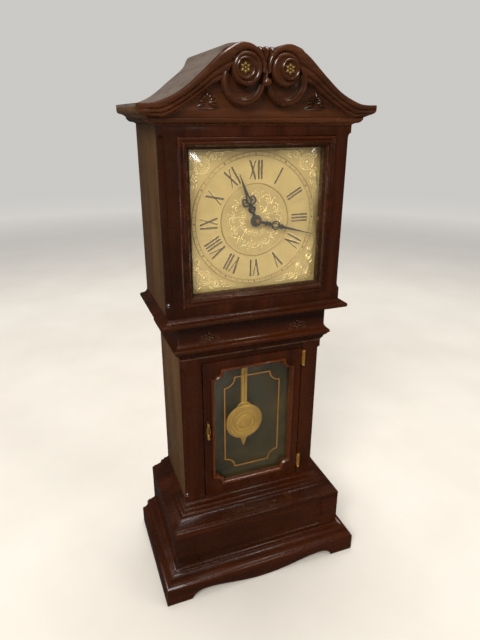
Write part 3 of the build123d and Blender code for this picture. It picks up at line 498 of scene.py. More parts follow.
# Material, width of the rounded edges in millimetres and node names
FINISHES = (
    (FRONT["x"], 0.45, ("base_front_rail", "plinth_front_panel", "frieze_board", "waist_moulding_front",
                        "plinth_top_board", "hood_base_board")),
    (FRONT["x"], 0.3, ("dial_bezel",)),
    (FRONT["y"], 0.45, ("base_left_rail", "base_right_rail", "waist_moulding_left", "waist_moulding_right")),
    (FRONT["z"], 0.45, ("trunk_left_stile", "trunk_right_stile", "hood_front_frame", "door_frame",
                        "plinth_left_side", "plinth_right_side")),
    (PEDIMENT_PAINTED_LIGHTER, 0.45, ("cornice_board", "tympanum")),
    (SIDES["y"], 0.4, ("cornice_left", "cornice_right")),
    (SIDES["z"], 0.4, ("trunk_left_side", "trunk_right_side", "hood_left_side", "hood_right_side")),
    (ROOF_PAINTED_SHEEN, None, ("roof_panel",)),
    (BOARD, 0.3, ("back_board", "base_board", "rear_cover")),
    (GREEN, None, ("backdrop_board",)),
    (MATTED_GILT, 0.12, ("mounting_nut",)),
    (COPPER, 0.2, ("hand_nut",)),
    (DIAL_GILT, None, ("dial_plate",)),
    (LENS, None, ("dial_lens",)),
    (PANE, None, ("window_glass",)),
    (PLASTIC, 0.2, ("movement_housing", "movement_cover", "setting_knob", "pendulum_hanger")),
    (GEAR, 0.08, ("motion_wheel", "hour_wheel")),
    (STEEL, 0.08, ("minute_arbor", "back_screws")),
    (CELL, 0.4, ("battery",)),
)
for material, bevel, names in FINISHES:
    for name in names:
        finish_node(name, material, bevel)


# ------------------------ pediment
CREST_X, CREST_Z, CREST_RADIUS = 19.3, CREST - 18.6, 18.6
SCROLL_X, SCROLL_Z, SCROLL_RADIUS = 16.9, CREST - 18.5, 12.8
EYE_X, EYE_Z = middle(span("scroll_rosettes")[0]) + 19.4, middle(span("scroll_rosettes")[2])
RING_X, RING_Z, RING_RADIUS = 19.0, CREST - 27.4, 18.9
TIP_RISE, TIP_RUN = 10.7, 8.4
NECK_HEIGHT = 8.0
# Share of the way from the top edge to the lower edge, and height over the tympanum
NECK_SECTION = [
    (0.0, 5.6), (0.012, 6.9), (0.04, 7.7), (0.09, 8.0), (0.18, 7.95), (0.27, 7.6), (0.33, 6.9), (0.36, 5.9),
    (0.375, 5.5), (0.39, 5.7), (0.43, 6.2), (0.50, 6.25), (0.57, 5.8), (0.61, 5.0), (0.63, 4.2), (0.645, 3.9),
    (0.66, 4.2), (0.70, 4.6), (0.77, 4.5), (0.83, 4.0), (0.87, 3.1), (0.89, 2.2), (0.93, 1.1), (0.97, 0.5),
    (1.0, 0.0),
]
# The same moulding where it runs along the side: a tall flat band over a stepped hollow, as shares of its run
SIDE_SECTION = [
    (0.0, 0.0), (0.005, 0.93), (0.03, 0.985), (0.07, 1.0), (0.12, 1.0), (0.20, 1.0), (0.30, 1.0), (0.40, 1.0),
    (0.47, 0.99), (0.50, 0.96), (0.53, 0.94), (0.56, 0.935), (0.59, 0.90), (0.62, 0.86), (0.65, 0.80),
    (0.68, 0.74), (0.70, 0.70), (0.73, 0.62), (0.76, 0.52), (0.80, 0.41), (0.84, 0.31), (0.88, 0.22),
    (0.92, 0.13), (0.96, 0.06), (1.0, 0.0),
]
# The row of the edges where the neck leaves its mitre, and where and how fast it flares into the scroll
FIRST_ROW, FLARE_START, FLARE_ROWS, FLARE, FLARE_POWER = 5, 30, 16, 1.75, 1.3


def round_about(x, z, radius, angles):
    return [(x + radius * math.cos(math.radians(a)), z + radius * math.sin(math.radians(a))) for a in angles]


def neck_edges():
    """The top edge and the lower edge of the swan neck on the right, point for point."""
    top = [(ROOF_HALF, CORNICE_TOP + TIP_RISE), (96.5, 496.8), (87.0, 498.6), (70.7, 506.0), (54.7, 518.2),
           (38.7, 532.0), *round_about(CREST_X, CREST_Z, CREST_RADIUS, (55, 72, 90, 111, 132, 152, 172, 190))]
    low = [(97.4, CORNICE_TOP), (91.0, CORNICE_TOP), (82.5, CORNICE_TOP), (65.0, 495.8), (48.8, 505.8), (35.0, 516.6),
           *round_about(SCROLL_X, SCROLL_Z, SCROLL_RADIUS + 0.15, (10, 48, 86, 109, 131, 150, 171, 190))]
    return flow(top, 7), flow(low, 7)


def neck_row(start, end, spread):
    """One cross section of the neck. A spread over 1 widens the top ridge and buries the lower ones."""
    row, last = [(start[0], TYMPANUM, start[1])], 1.0
    for share, height in NECK_SECTION:
        wide = share * spread
        if wide > 1:
            height = last * max(0.0, 1 - (wide - 1) / (spread - 1))
            wide = 1.0
        else:
            last = height
        row.append((start[0] + (end[0] - start[0]) * wide, TYMPANUM + height, start[1] + (end[1] - start[1]) * wide))
    return row


def swan_neck(side):
    """The ridged moulding that starts at the corner of the side cornice and climbs over the scroll."""
    corner = ROOF_HALF - TIP_RUN
    rows = []
    for out in (0.0, NECK_HEIGHT):
        rows.append([(corner, TYMPANUM, CORNICE_TOP + TIP_RISE)] + [
            (corner + TIP_RUN * height, TYMPANUM + out * height, CORNICE_TOP + TIP_RISE * (1 - share))
            for share, height in SIDE_SECTION])
    top, low = neck_edges()
    for i, (start, end) in list(enumerate(zip(top, low)))[FIRST_ROW:]:
        flare = min(1.0, max(0.0, (i - FLARE_START) / FLARE_ROWS))
        rows.append(neck_row(start, end, 1.0 + FLARE * flare ** FLARE_POWER))
    width = len(rows[0])
    vertices = [(side * x, d, z) for row in rows for x, d, z in row]
    faces = [(i * width + k, i * width + (k + 1) % width, (i + 1) * width + (k + 1) % width, (i + 1) * width + k)
             for i in range(len(rows) - 1) for k in range(width)]
    faces += [tuple(range(width)), tuple(range((len(rows) - 1) * width, len(rows) * width))]
    return vertices, faces


def scroll_disc(side):
    """Stepped round scroll: a wide rolled rim, then a raised eye that holds the gilt flower."""
    base = TYMPANUM
    rim = [(0, base), (SCROLL_RADIUS, base), (SCROLL_RADIUS, base + 5.2), (12.6, base + 6.6), (12.1, base + 7.8),
           (11.3, base + 8.6), (10.4, base + 8.8), (9.6, base + 8.5), (8.9, base + 7.8), (0, base + 7.6)]
    floor = base + 8.7
    eye = [(0, base), (8.3, base), (8.3, base + 8.6), (8.15, base + 9.9), (7.7, base + 10.7), (7.1, base + 11.0),
           (6.5, base + 10.7), (6.1, base + 10.0), (5.7, base + 9.2), (5.2, floor), (0, floor)]
    return [lathe(side * SCROLL_X, SCROLL_Z, rim, 72), lathe(side * EYE_X, EYE_Z, eye, 64)]


def scroll_ring(side):
    """The larger ring that hangs below a scroll: a rounded rim round a dished field."""
    base, edge = TYMPANUM, RING_RADIUS
    rim = [(edge, base), (edge, base + 3.2), (edge - 0.3, base + 4.8), (edge - 1.0, base + 6.1),
           (edge - 2.0, base + 6.7), (edge - 3.0, base + 6.4), (edge - 3.7, base + 5.4), (edge - 3.9, base + 4.7),
           (edge - 4.6, base + 4.5), (edge - 5.4, base + 4.1), (edge - 5.8, base + 3.2), (edge - 6.0, base + 2.3),
           (edge - 7.5, base + 1.6), (6.0, base + 1.0), (6.0, base)]
    start, end = (22, -172) if side > 0 else (158, 352)
    return fan(side * RING_X, RING_Z, rim, start, end, 80)


def rosette(x, z, base, size):
    """A flower of six round petals, each with a bead beyond it, about a hollow eye."""
    solids = []
    for i in range(6):
        a = math.radians(60 * i + 90)
        for reach, radius, height, segments in ((0.62, 0.34, 0.36, 16), (0.9, 0.16, 0.18, 10)):
            solids.append(bead(x + reach * size * math.cos(a), z + reach * size * math.sin(a), base, radius * size,
                               height * size, segments))
    solids.append(lathe(x, z, [(0, base), (0.24 * size, base), (0.24 * size, base + 0.26 * size),
                               (0.14 * size, base + 0.34 * size), (0, base + 0.16 * size)], 16))
    return solids


def bud():
    """Three fat lobes that swell out of the valley between the scrolls, on a short stem."""
    base = TYMPANUM + 1.2
    stem = [(0, 513.0), (0, 520.0), (0, 526.5)]
    solids = [sweep(stem, scaled(HALF_ROUND, 2.6, 6.2), base, sizes=[1.0, 0.95, 0.6])]
    for lean, size in ((-1.0, 0.92), (1.0, 0.92), (0.0, 1.0)):
        spine = flow([(lean * 0.7, 521.0), (lean * 2.1, 527.5), (lean * 4.0, 532.8), (lean * 5.1, 536.4),
                      (lean * 5.2, 538.8)], 6)
        last = len(spine) - 1
        sizes = [min(0.35 + 1.0 * i / last, max(0.12, 1.15 * math.sqrt(max(0.0, 1 - (i / last) ** 6))))
                 for i in range(last + 1)]
        height = 6.6 if lean == 0 else 5.8
        solids.append(sweep(spine, scaled(HALF_ROUND, 3.0 * size, height * size), base, sizes=sizes))
    return solids


def knob():
    """The small oval knob between the two scrolls."""
    depth, z = span("centre_bud")[1][1] - 3.9, CREST - 28.3
    vertices, faces = lathe(0, z, [(0, depth - 3.9)] + [
        (4.1 * math.sin(math.radians(a)), depth - 3.9 * math.cos(math.radians(a))) for a in range(20, 161, 14)
    ] + [(0, depth + 3.9)], 36)
    stem = lathe(0, z, [(0, TYMPANUM), (3.0, TYMPANUM), (3.0, depth - 2.6), (0, depth - 2.6)], 32)
    return [([(x, d, z + (vz - z) * 0.82) for x, d, vz in part], own) for part, own in ((vertices, faces), stem)]


def palmette(side):
    """Fan of leaves round a dark eye, over a plain bar, in the outer corner of the pediment."""
    base = TYMPANUM - 0.3
    eye_x, eye_z = side * 49.0, CORNICE_TOP + 11.4
    bar = flow([(side * 36.6, CORNICE_TOP + 6.6), (side * 48, CORNICE_TOP + 6.7),
                (side * 61.0, CORNICE_TOP + 6.5)], 8)
    solids = [stroke(bar, 0.75, 1.5, base)]
    for reach, angle in ((10.0, -20), (6.8, 8), (6.4, 38), (6.8, 66), (8.6, 94), (8.4, 122), (8.2, 150), (8.8, 176),
                         (11.6, 200)):
        a = math.radians(angle if side > 0 else 180 - angle)
        along = Vector((math.cos(a), math.sin(a)))
        tip, start = Vector((eye_x, eye_z)) + along * reach, Vector((eye_x, eye_z)) + along * 1.5
        tip.y = max(tip.y, CORNICE_TOP + 7.4)
        bend = (start + tip) / 2 + Vector((0.2 * side, 0.25))
        solids.append(stroke(flow([tuple(start), tuple(bend), tuple(tip)], 6), 1.5, 2.4, base, taper=(0.4, 1.0, 0.3)))
    return solids


def frieze_flower(side):
    """Carved flower on the frieze with a small curl on each side."""
    x, z, base = side * 47.4, 288.5, span("waist_moulding_front")[1][1] - 7.0 + 1.7
    solids = rosette(x, z, base, 5.4)
    for way in (-1, 1):
        curl = spiral(x + way * 7.0, z - 0.4, 2.6, 0.7, 180 if way > 0 else 0, -way * 1.15)
        solids.append(stroke(curl, 0.5, 0.9, base, taper=(0.6, 1.0, 0.4)))
        leaf = flow([(x + way * 4.0, z - 4.0), (x + way * 7.5, z - 4.3), (x + way * 11.0, z - 1.6)], 6)
        solids.append(stroke(leaf, 0.45, 0.8, base))
        solids.append(bead(x + way * 11.2, z + 0.6, base, 0.7, 0.8))
    return solids


for side, word in ((-1, "left"), (1, "right")):
    piece(f"swan_neck_moulding_{word}", [swan_neck(side)], PEDIMENT_PAINTED_LIGHTER, "case",
          (f"swan_neck_{word}",))
    piece(f"scroll_carving_{word}", [*scroll_disc(side), scroll_ring(side)], PEDIMENT_PAINTED_LIGHTER, "case",
          (f"scroll_{word}",))
rosette_base = span("scroll_rosettes")[1][0]
piece("gilt_rosettes", [s for side in (-1, 1) for s in rosette(side * EYE_X, EYE_Z, rosette_base, 4.3)], OLD_GILT,
      "case", ("scroll_rosettes",))
piece("bud_carving", bud() + knob(), PEDIMENT_PAINTED_LIGHTER, "case", ("centre_bud",))
piece("carvings", [s for side in (-1, 1) for s in palmette(side) + frieze_flower(side)], CARVED, "case",
      ("carved_ornaments",))


# ------------------------ door
def indented(half, low, high, notch):
    """A closed path round a rectangle with a round bite out of each corner, anticlockwise from lower right."""
    corners = ((half, low, 180), (half, high, 270), (-half, high, 360), (-half, low, 90))
    return [p for x, z, start in corners for p in arc(x, z, notch, start, start - 90, 10)]


bead_x, bead_d, bead_z = span("window_bead")
BEAD, BEAD_NOTCH = 2.8, 8.8
# A rounded bead whose inner side runs on down to the glass
BEAD_SECTION = [(-1.4, 0.0), (-1.4, 1.3), (-1.15, 2.0), (-0.7, 2.45), (0.0, 2.6), (0.6, 2.4), (0.95, 1.9),
                (1.05, 1.3), (1.5, 0.9), (2.3, -1.1), (2.6, -3.1), (1.0, -3.1), (1.0, 0.0)]
bead_path = indented(bead_x[1] - BEAD / 2, bead_z[0] + BEAD / 2, bead_z[1] - BEAD / 2, BEAD_NOTCH + BEAD / 2)
piece("window_moulding", [sweep(bead_path, BEAD_SECTION, bead_d[0], closed=True)], BEADING_PAINTED_HIGHLIGHT, "door",
      ("window_bead",))

glass_front = span("window_glass")[1][1]
LINE = scaled(FLAT_BAR, 0.58, 0.08)
LINE_HALF, LINE_LOW, LINE_HIGH, LINE_NOTCH = 31.1, 124.9, 236.6, 11.3
line_path = indented(LINE_HALF, LINE_LOW, LINE_HIGH, LINE_NOTCH)
piece("gold_line", [sweep(line_path, LINE, glass_front, closed=True)], GOLD_LINE, "door")


def door_pull():
    """A plate with a ball at each end and a thin hanging loop between them."""
    x, depth = middle(span("door_pull")[0]), span("door_pull")[1][0]
    low, high = span("door_pull")[2]
    at = low + (high - low) / 2
    solids = [sweep([(x, low + 1.2), (x, high - 1.2)], scaled(FLAT_BAR, 0.6, 0.5), depth)]
    for z, r in ((high - 1.6, 1.35), (low + 1.6, 1.5)):
        ball = [(0, depth), (1.1, depth), (0.9, depth + 1.2), (r, depth + 2.0), (r * 1.02, depth + 2.9),
                (r * 0.7, depth + 3.7), (0, depth + 4.0)]
        collar = [(0, depth + 0.6), (1.1, depth + 0.9), (1.3, depth + 1.8), (0.7, depth + 2.5), (0, depth + 2.7)]
        solids += [lathe(x, z, ball, 24), lathe(x, z - math.copysign(2.3, z - at), collar, 16)]
    loop = [(x + 1.85 * c, at + 4.8 * s) for c, s in ring(0, 0, 1, 40)]
    wire = [(0.42 * c, 0.55 + 0.42 * s) for c, s in ring(0, 0, 1, 8)]
    return [*solids, sweep(loop, wire, depth + 1.0, closed=True)]


piece("brass_pull", door_pull(), BRASS, "door", ("door_pull",))


def hinges():
    """Slim brass hinges in thirds: the outer knuckles with ball ends on the case, the middle one on the door."""
    low, high = span("case_hinge_leaves")[2]
    x, depth = middle(span("case_hinge_leaves")[0]), HINGE_DEPTH
    fixed, moving = [], []
    for bottom in (low, high - HINGE_LENGTH):
        third = HINGE_LENGTH / 3
        for start, ball in ((bottom, bottom), (bottom + 2 * third, bottom + HINGE_LENGTH)):
            fixed.append(spindle(x, depth, [(0, start), (1.3, start), (1.4, start + 0.3), (1.4, start + third - 0.4),
                                            (1.25, start + third - 0.1), (0, start + third - 0.1)]))
            inward = 1.2 if ball == bottom else -1.2
            fixed.append(spindle(x, depth, [(0, ball + inward - 1.2)] + [
                (1.75 * math.sin(math.radians(a)), ball + inward - 1.2 * math.cos(math.radians(a)))
                for a in range(20, 161, 20)] + [(0, ball + inward + 1.2)]))
        start, end = bottom + third, bottom + 2 * third
        moving.append(spindle(x, depth, [(0, start), (1.3, start), (1.4, start + 0.3), (1.4, end - 0.3), (1.3, end),
                                         (0, end)]))
        for solids, offset in ((fixed, 0.9), (moving, -0.9)):
            leaf = [(x + offset, bottom + 1.0), (x + offset, bottom + HINGE_LENGTH - 1.0)]
            solids.append(sweep(leaf, scaled(FLAT_BAR, 0.8, 0.6), depth - 1.7))
    return fixed, moving


HINGE_LENGTH = 18.2
HINGE_DEPTH = span("door_frame")[1][1] + 1.4
case_hinges, door_hinges = hinges()
piece("case_hinges", case_hinges, BRASS, "case", ("case_hinge_leaves",))
piece("door_hinges", door_hinges, BRASS, "door", ("door_hinge_leaves",))


# ------------------------ pendulum
def pendulum_bob():
    """A round bob with raised rings and a low dome in the middle."""
    (_, radius), (back, _), height = span("pendulum_bob")
    z = middle(height)
    profile = [(0, back), (radius - 0.4, back), (radius, back + 0.3), (radius, back + 0.9),
               (radius - 0.5, back + 1.3)]
    for ring_radius in (18.6, 16.0, 11.4):
        profile += [(ring_radius + 1.1, back + 1.3), (ring_radius + 0.6, back + 1.42), (ring_radius, back + 1.75),
                    (ring_radius - 0.6, back + 1.42), (ring_radius - 1.1, back + 1.3)]
    profile += [(8.6, back + 1.3), (8.2, back + 1.62), (7.4, back + 1.85), (4.5, back + 2.2), (0, back + 2.35)]
    return [lathe(0, z, profile, 96)]


def pendulum_rod():
    """A flat strip with a groove down its middle, its hook, a pointed tail and a collar over the bob."""
    (_, half), (back, front), (low, high) = span("pendulum_rod")
    section = [(-half, 0.0), (-half, 0.85), (-half + 0.4, 1.15), (-0.95, 1.15), (-0.55, 0.35), (0.0, 0.2),
               (0.55, 0.35), (0.95, 1.15), (half - 0.4, 1.15), (half, 0.85), (half, 0.0)]
    strip = sweep([(0, 141.0), (0, 339.8)], section, front - 1.2)
    hook = sweep([(0, 336.0), (0, high)], scaled(FLAT_BAR, half, 1.2), back)
    tail = sweep([(0, 142.5), (0, 137.0), (0, low)], scaled(HALF_ROUND, half, 1.2), front - 1.2,
                 sizes=[1.0, 0.75, 0.12])
    bob_top = span("pendulum_bob")[2][1]
    collar = sweep([(-7.6, bob_top - 0.6), (-3.6, bob_top + 1.4), (3.6, bob_top + 1.4), (7.6, bob_top - 0.6)],
                   scaled(HALF_ROUND, 1.3, 1.2), front - 0.4, sizes=[0.5, 1.0, 1.0, 0.5])
    return [strip, hook, tail, collar]


piece("pendulum_disc", pendulum_bob(), BOB_BRASS, "pendulum", ("pendulum_bob",))
piece("pendulum_strip", pendulum_rod(), BOB_BRASS, "pendulum", ("pendulum_rod",))

# A dark green sheet runs from the foot of the backdrop to the back of the door, over the plinth board: painted shade
# in the bottom of the window.
(sheet_left, sheet_right), (_, backdrop_front), (sheet_low, _) = span("backdrop_board")
sheet_reach = span("door_frame")[1][0] - 1.0 - backdrop_front
sheet_path = [(sheet_left, sheet_low + 0.5), (sheet_right, sheet_low + 0.5)]
sheet_section = [(-0.3, 0.0), (-0.3, sheet_reach), (0.3, sheet_reach), (0.3, 0.0)]
piece("backdrop_shade_sheet", [sweep(sheet_path, sheet_section, backdrop_front)], GREEN, "case")
piece("backdrop_pin", [bead(10.0, 137.0, backdrop_front, 1.1, 0.9)], BRASS, "case")


# ------------------------ dial
TRACK_OUTER, TRACK_INNER, CHAPTER_INNER = 60.6, 57.2, 33.3
NUMERAL_FOOT, NUMERAL_HEAD = 36.8, 53.4


def on_dial(path):
    """A path about the dial's centre, moved to its place."""
    return [(x + DIAL_X, z + DIAL_Z) for x, z in path]


def centre_scrollwork():
    """Lace of open loops, curls and dots inside the inner ring, repeated round the dial."""
    lines = [(arc(0, 21.4, 4.3, -50, 200, 20), 0.42), (spiral(0.6, 21.2, 2.4, 0.7, -60, 1.0, 16), 0.36),
             (spiral(-0.4, 13.3, 2.7, 0.8, 80, -1.15, 20), 0.42),
             (flow([(2.6, 9.0), (3.6, 12.0), (3.9, 16.4)], 5), 0.4),
             (flow([(5.4, 25.6), (6.2, 23.2), (5.6, 20.6)], 5), 0.5)]
    dots = [(0, 27.0, 0.6), (6.9, 26.4, 0.75), (3.9, 17.2, 0.6), (2.9, 24.9, 0.5), (-2.9, 24.9, 0.5)]
    solids = []
    for i in range(12):
        turn = 30 * i
        for path, half in lines:
            solids.append(stroke(on_dial(turned(path, turn)), half, 0.6, DIAL_FACE, taper=(0.5, 1.0, 0.6)))
        for x, z, radius in dots:
            (dot,) = on_dial(turned([(x, z)], turn))
            solids.append(bead(*dot, DIAL_FACE, radius, 0.6, 10))
    return solids


def spandrel(flip_x, flip_z):
    """One corner: a ringed boss with a spray of curls along each edge."""
    spray = [spiral(39.5, 56.8, 3.4, 0.8, 20, 1.3), flow([(43.6, 53.0), (42.4, 57.4), (38.6, 60.6), (34.6, 60.4)], 5),
             spiral(32.4, 59.0, 1.9, 0.5, 40, 1.1), flow([(31.0, 60.9), (27.0, 61.4), (22.6, 60.8)], 5),
             flow([(35.6, 54.6), (33.4, 55.4), (30.2, 56.8)], 4), flow([(46.0, 58.6), (44.6, 60.8), (42.4, 61.8)], 4)]
    corner = [flow([(56.6, 56.6), (58.6, 58.6), (61.2, 61.2)], 4),
              flow([(54.2, 58.6), (56.0, 60.6), (58.2, 61.8)], 4)]
    strokes = [p for c in spray + corner for p in (c, [(z, x) for x, z in c])]
    solids = []
    for path in strokes:
        placed = [(DIAL_X + flip_x * x, DIAL_Z + flip_z * z) for x, z in path]
        solids.append(stroke(placed, 0.75, 0.8, DIAL_FACE, taper=(0.5, 1.0, 0.6)))
    x, z = DIAL_X + flip_x * 50.6, DIAL_Z + flip_z * 50.6
    for radius, half in ((7.2, 0.45), (5.2, 0.3), (3.4, 0.25)):
        solids.append(sweep(ring(x, z, radius, 48), scaled(HALF_ROUND, half, half), DIAL_FACE, closed=True))
    solids.append(bead(x, z, DIAL_FACE, 1.5, 0.8))
    for i in range(16):
        a = 2 * math.pi * i / 16
        solids.append(bead(x + 6.2 * math.cos(a), z + 6.2 * math.sin(a), DIAL_FACE, 0.36, 0.3, 8))
    for u, v, r in ((45.2, 60.6, 0.6), (36.2, 57.6, 0.5), (29.2, 59.0, 0.55), (20.6, 60.6, 0.45), (39.5, 56.8, 0.7)):
        for p, q in ((u, v), (v, u)):
            solids.append(bead(DIAL_X + flip_x * p, DIAL_Z + flip_z * q, DIAL_FACE, r, 0.45, 10))
    return solids


def numeral_strokes(text, low, high):
    """Bars of a roman numeral standing on its foot at low: (foot, head, half width)."""
    thick, thin, gap, wide = 0.95, 0.55, 2.9, 7.4
    widths = {"I": 0.0, "V": wide - 2 * thick, "X": wide - 2 * thick}
    total = sum(widths[c] for c in text) + gap * (len(text) - 1)
    x, bars = -total / 2, []
    for c in text:
        w = widths[c]
        if c == "I":
            bars.append(((x, low), (x, high), thick))
        elif c == "V":
            bars.append(((x + w / 2 + 0.3, low), (x, high), thick))
            bars.append(((x + w / 2 - 0.3, low), (x + w, high), thin))
        else:
            bars.append(((x + w, low), (x, high), thick))
            bars.append(((x, low), (x + w, high), thin))
        x += w + gap
    return bars


def numerals(grow, height):
    """The twelve roman numerals with their feet to the centre, each bar grown all round by an amount."""
    hours = ("I", "II", "III", "IV", "V", "VI", "VII", "VIII", "IX", "X", "XI", "XII")
    solids = []
    for i, text in enumerate(hours):
        for foot, head, half in numeral_strokes(text, NUMERAL_FOOT, NUMERAL_HEAD):
            ends = [(foot[0], foot[1] - grow), (head[0], head[1] + grow)]
            bar = on_dial(turned(ends, 30 * (i + 1)))
            solids.append(sweep(bar, scaled(FLAT_BAR, half + grow, height), DIAL_FACE))
    return solids


def minute_marks():
    """A tick for each minute and a dot for every fifth."""
    solids = []
    for minute in range(60):
        if minute % 5:
            tick = on_dial(turned([(0, 57.5), (0, 60.0)], 6 * minute))
            solids.append(sweep(tick, scaled(FLAT_BAR, 0.2, 0.12), DIAL_FACE))
        else:
            (dot,) = on_dial(turned([(0, 58.75)], 6 * minute))
            solids.append(bead(*dot, DIAL_FACE, 0.85, 0.3, 12))
    return solids


dial_rings = [sweep(ring(DIAL_X, DIAL_Z, r, 120), scaled(HALF_ROUND, half, half), DIAL_FACE, closed=True)
              for r, half in ((TRACK_OUTER, 0.55), (TRACK_INNER, 0.4), (CHAPTER_INNER, 0.6))]
corners = [s for fx in (-1, 1) for fz in (-1, 1) for s in spandrel(fx, fz)]
piece("dial_relief", centre_scrollwork() + corners, RELIEF_GILT, "case")
piece("dial_rings", dial_rings, RING_GILT, "case")
ground = [(7.0, DIAL_FACE), (31.9, DIAL_FACE), (31.8, DIAL_FACE + 0.08), (7.0, DIAL_FACE + 0.08)]
piece("dial_centre_ground", [lathe(DIAL_X, DIAL_Z, ground, 96)], MATTED_GILT, "case")
piece("numeral_edges", numerals(0.22, 0.28), RELIEF_GILT, "case")
piece("numerals", numerals(0.0, 0.42), INK, "case")
piece("minute_marks", minute_marks(), INK, "case")


# ------------------------ hands
HOUR_ANGLE, MINUTE_ANGLE = 338.9, 105.3


def hand(name, node, body, angle, strokes, hub):
    """A pierced serpentine hand. strokes are (path, half width, end sizes, closed) with the hand pointing up."""
    base, front = span(node)[1]
    thick = front - base
    solids = []
    for path, half, sizes, closed in strokes:
        count = len(path)
        scale = None if sizes is None else [sizes[0] + (sizes[1] - sizes[0]) * i / (count - 1) for i in range(count)]
        solids.append(sweep(on_dial(turned(path, angle)), scaled(FLAT_BAR, half, thick), base, closed, scale))
    hole = span("hand_nut")[0][1] * 0.55
    solids.append(lathe(DIAL_X, DIAL_Z, [(hole, base), (hub, base), (hub, base + thick * 0.8), (hub - 0.3, front),
                                         (hole, front)], 40))
    piece(name, solids, BLACK, body, (node,))


def mirrored_strokes(path, half):
    return [(path, half, None, False), ([(-x, z) for x, z in path], half, None, False)]


hour = [([(0, 2), (0, 9.5)], 1.6, (1.1, 0.8), False), ([(0, 24.0), (0, 45.2)], 1.7, (1.0, 0.12), False)]
hour += mirrored_strokes(spiral(1.9, 11.4, 1.9, 0.8, 200, -1.0, 16), 0.6)
hour += mirrored_strokes(flow([(0.4, 8.0), (2.6, 10.6), (1.0, 13.8), (0.6, 16.4)], 5), 0.8)
hour += mirrored_strokes(flow([(0.4, 15.0), (2.6, 15.6), (5.6, 16.8), (6.3, 19.8), (4.8, 22.6), (2.9, 21.8),
                               (2.6, 19.8), (4.0, 19.2)], 6), 0.75)
hour += mirrored_strokes(flow([(0.0, 15.4), (1.6, 18.6), (1.8, 21.8), (0.3, 25.6)], 6), 0.75)
hand("hour_pointer", "hour_hand", "hour_train", HOUR_ANGLE, hour, 5.5)

minute = [([(0, 2), (0, 15.6)], 1.3, (1.1, 0.8), False), ([(0, 24.0), (0, 61.0)], 1.35, (1.0, 0.14), False)]
minute += [(ring(0, 20.2, 3.9, 28), 0.6, None, True)]
minute += mirrored_strokes(flow([(0.3, 16.4), (1.9, 18.4), (1.8, 20.8), (0.2, 24.0)], 5), 0.45)
minute += mirrored_strokes(flow([(0.3, 9.0), (1.8, 10.4), (0.5, 12.0), (1.7, 13.6), (0.4, 15.2)], 4), 0.7)
minute += mirrored_strokes(flow([(0.2, 24.4), (1.9, 26.6), (0.2, 28.8)], 5), 0.5)
hand("minute_pointer", "minute_hand", "minute_train", MINUTE_ANGLE, minute, 5.0)


# ------------------------ stage, light and camera
# Strengths of the studio air as a light, as a reflection and to the camera; the wall glows like the last
AIR = rgb(0.80, 0.78, 0.75)
SOFT_LIGHT, MIRRORED_LIGHT, SEEN_LIGHT, WALL_GLOW = 0.32, 0.045, 0.8, 0.75
FLOOR_REACH, FLOOR_BEND, WALL_TOP = 3.4, 1.1, 4.5
CAMERA_PLACE, CAMERA_LENS = (-0.1794, -0.4555, 0.4880), 28.44
CAMERA_YAW, CAMERA_PITCH, CAMERA_ROLL = (math.radians(a) for a in (20.82, 22.03, 0.18))


def stage():
    """A pale floor that sweeps up all round into a plain wall and turns from lit to glowing on the way."""
    segments = 96
    profile = [(FLOOR_REACH, 0.0)] + [
        (FLOOR_REACH + FLOOR_BEND * math.sin(math.radians(a)), FLOOR_BEND - FLOOR_BEND * math.cos(math.radians(a)))
        for a in range(6, 91, 6)] + [(FLOOR_REACH + FLOOR_BEND, WALL_TOP)]
    vertices = [(0, 0, 0)]
    for radius, height in profile:
        vertices += [(x, y, height) for x, y in ring(0, 0, radius, segments)]
    faces = [(0, 1 + s, 1 + (s + 1) % segments) for s in range(segments)]
    for row in range(len(profile) - 1):
        a, b = 1 + row * segments, 1 + (row + 1) * segments
        faces += [(a + s, a + (s + 1) % segments, b + (s + 1) % segments, b + s) for s in range(segments)]
    g = Graph("floor_pale")
    tone = g.mix(g.ramp(g.noise(7, detail=6), 0.35, 0.68), rgb(0.55, 0.52, 0.475), rgb(0.59, 0.56, 0.515))
    away = g.add("ShaderNodeVectorMath", operation="LENGTH")
    g.join(g.place, away.inputs[0])
    tone = g.mix(g.ramp(away.outputs["Value"], 1.0, 3.2), tone, rgb(0, 0, 0))
    g.set(Base_Color=tone, Roughness=0.9, Specular_IOR_Level=0.0, Emission_Color=AIR,
          Emission_Strength=g.ramp(away.outputs["Value"], 0.7, 2.4, 0.0, WALL_GLOW))
    mesh = bpy.data.meshes.new("floor")
    mesh.from_pydata(vertices, [], faces)
    mesh.polygons.foreach_set("use_smooth", [True] * len(mesh.polygons))
    mesh.materials.append(g.material)
    floor = bpy.data.objects.new("floor", mesh)
    bpy.context.scene.collection.objects.link(floor)
    floor.visible_glossy = False


def studio_air():
    """Pale to look at, softer as a light and dim as a reflection."""
    world = bpy.data.worlds.new("studio")
    world.use_nodes = True
    tree = world.node_tree
    air, path = tree.nodes["Background"], tree.nodes.new("ShaderNodeLightPath")
    air.inputs["Color"].default_value = AIR
    strength = SOFT_LIGHT
    for ray, value in (("Is Glossy Ray", MIRRORED_LIGHT), ("Is Camera Ray", SEEN_LIGHT)):
        choose = tree.nodes.new("ShaderNodeMix")
        tree.links.new(path.outputs[ray], choose.inputs[0])
        if isinstance(strength, bpy.types.NodeSocket):
            tree.links.new(strength, choose.inputs[2])
        else:
            choose.inputs[2].default_value = strength
        choose.inputs[3].default_value = value
        strength = choose.outputs[0]
    tree.links.new(strength, air.inputs["Strength"])
    bpy.context.scene.world = world


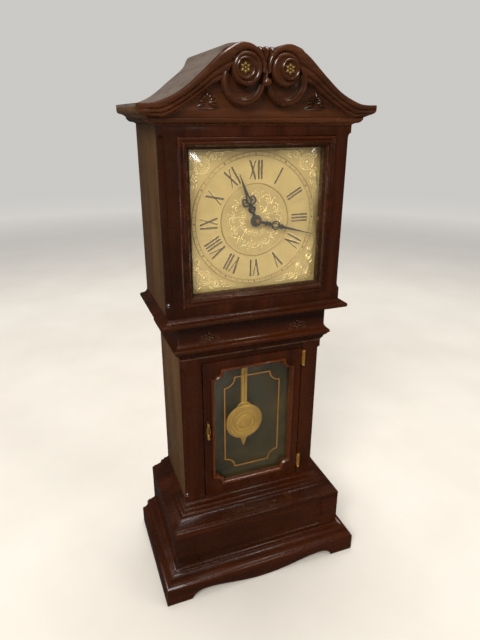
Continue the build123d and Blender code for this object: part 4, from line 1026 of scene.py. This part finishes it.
def lamp(name, place, target, size, power, colour=(1, 1, 1), mirrored=True, height=None, tilt=0.0):
    """An oval lamp aimed at a target; tilt turns it about its aim, in degrees."""
    light = bpy.data.lights.new(name, "AREA")
    light.shape, light.size, light.size_y = "ELLIPSE", size, height or size
    light.energy, light.color = power, colour
    obj = bpy.data.objects.new(name, light)
    obj.location = place
    obj.rotation_mode = "QUATERNION"
    aim = (Vector(target) - Vector(place)).to_track_quat("-Z", "Y")
    obj.rotation_quaternion = aim @ Quaternion((0, 0, 1), math.radians(tilt))
    obj.visible_glossy = mirrored
    bpy.context.scene.collection.objects.link(obj)


def camera():
    """Stands a little left of the clock and above its hood, looking down to the right."""
    yaw, pitch, roll = CAMERA_YAW, CAMERA_PITCH, CAMERA_ROLL
    forward = Vector((math.sin(yaw) * math.cos(pitch), math.cos(yaw) * math.cos(pitch), -math.sin(pitch)))
    right = forward.cross(Vector((0, 0, 1))).normalized()
    up = right.cross(forward)
    right, up = right * math.cos(roll) + up * math.sin(roll), up * math.cos(roll) - right * math.sin(roll)
    data = bpy.data.cameras.new("camera")
    data.sensor_width, data.lens = 36.0, CAMERA_LENS
    data.clip_start = 0.01
    obj = bpy.data.objects.new("camera", data)
    turn = Matrix((right, up, -forward)).transposed()
    obj.matrix_world = Matrix.Translation(CAMERA_PLACE) @ turn.to_4x4()
    bpy.context.scene.collection.objects.link(obj)
    bpy.context.scene.camera = obj


stage()
camera()
lamp("key", (-2.2, -2.4, 3.0), (0, 0, 0.3), 1.6, 150, (1.0, 0.96, 0.90))
lamp("fill", (2.6, -2.2, 1.8), (0, 0, 0.25), 1.8, 38, (1.0, 0.97, 0.93), mirrored=False)
lamp("top", (0.1, 0.6, 3.4), (0, 0.4, 0.3), 2.0, 95, (1.0, 0.98, 0.95))
lamp("ceiling", (0.9, -1.6, 2.7), (0, 0, 0.25), 0.5, 6, (1.0, 0.94, 0.86))
lamp("glint_left", (0.01, -2.0, 0.79), (0, 0, 0.4), 0.13, 0.16, height=0.03, tilt=-40)
lamp("glint_right", (1.41, -1.47, 0.76), (0, 0, 0.4), 0.06, 0.03, height=0.02, tilt=50)
studio_air()
bpy.context.scene.view_settings.view_transform = "Standard"
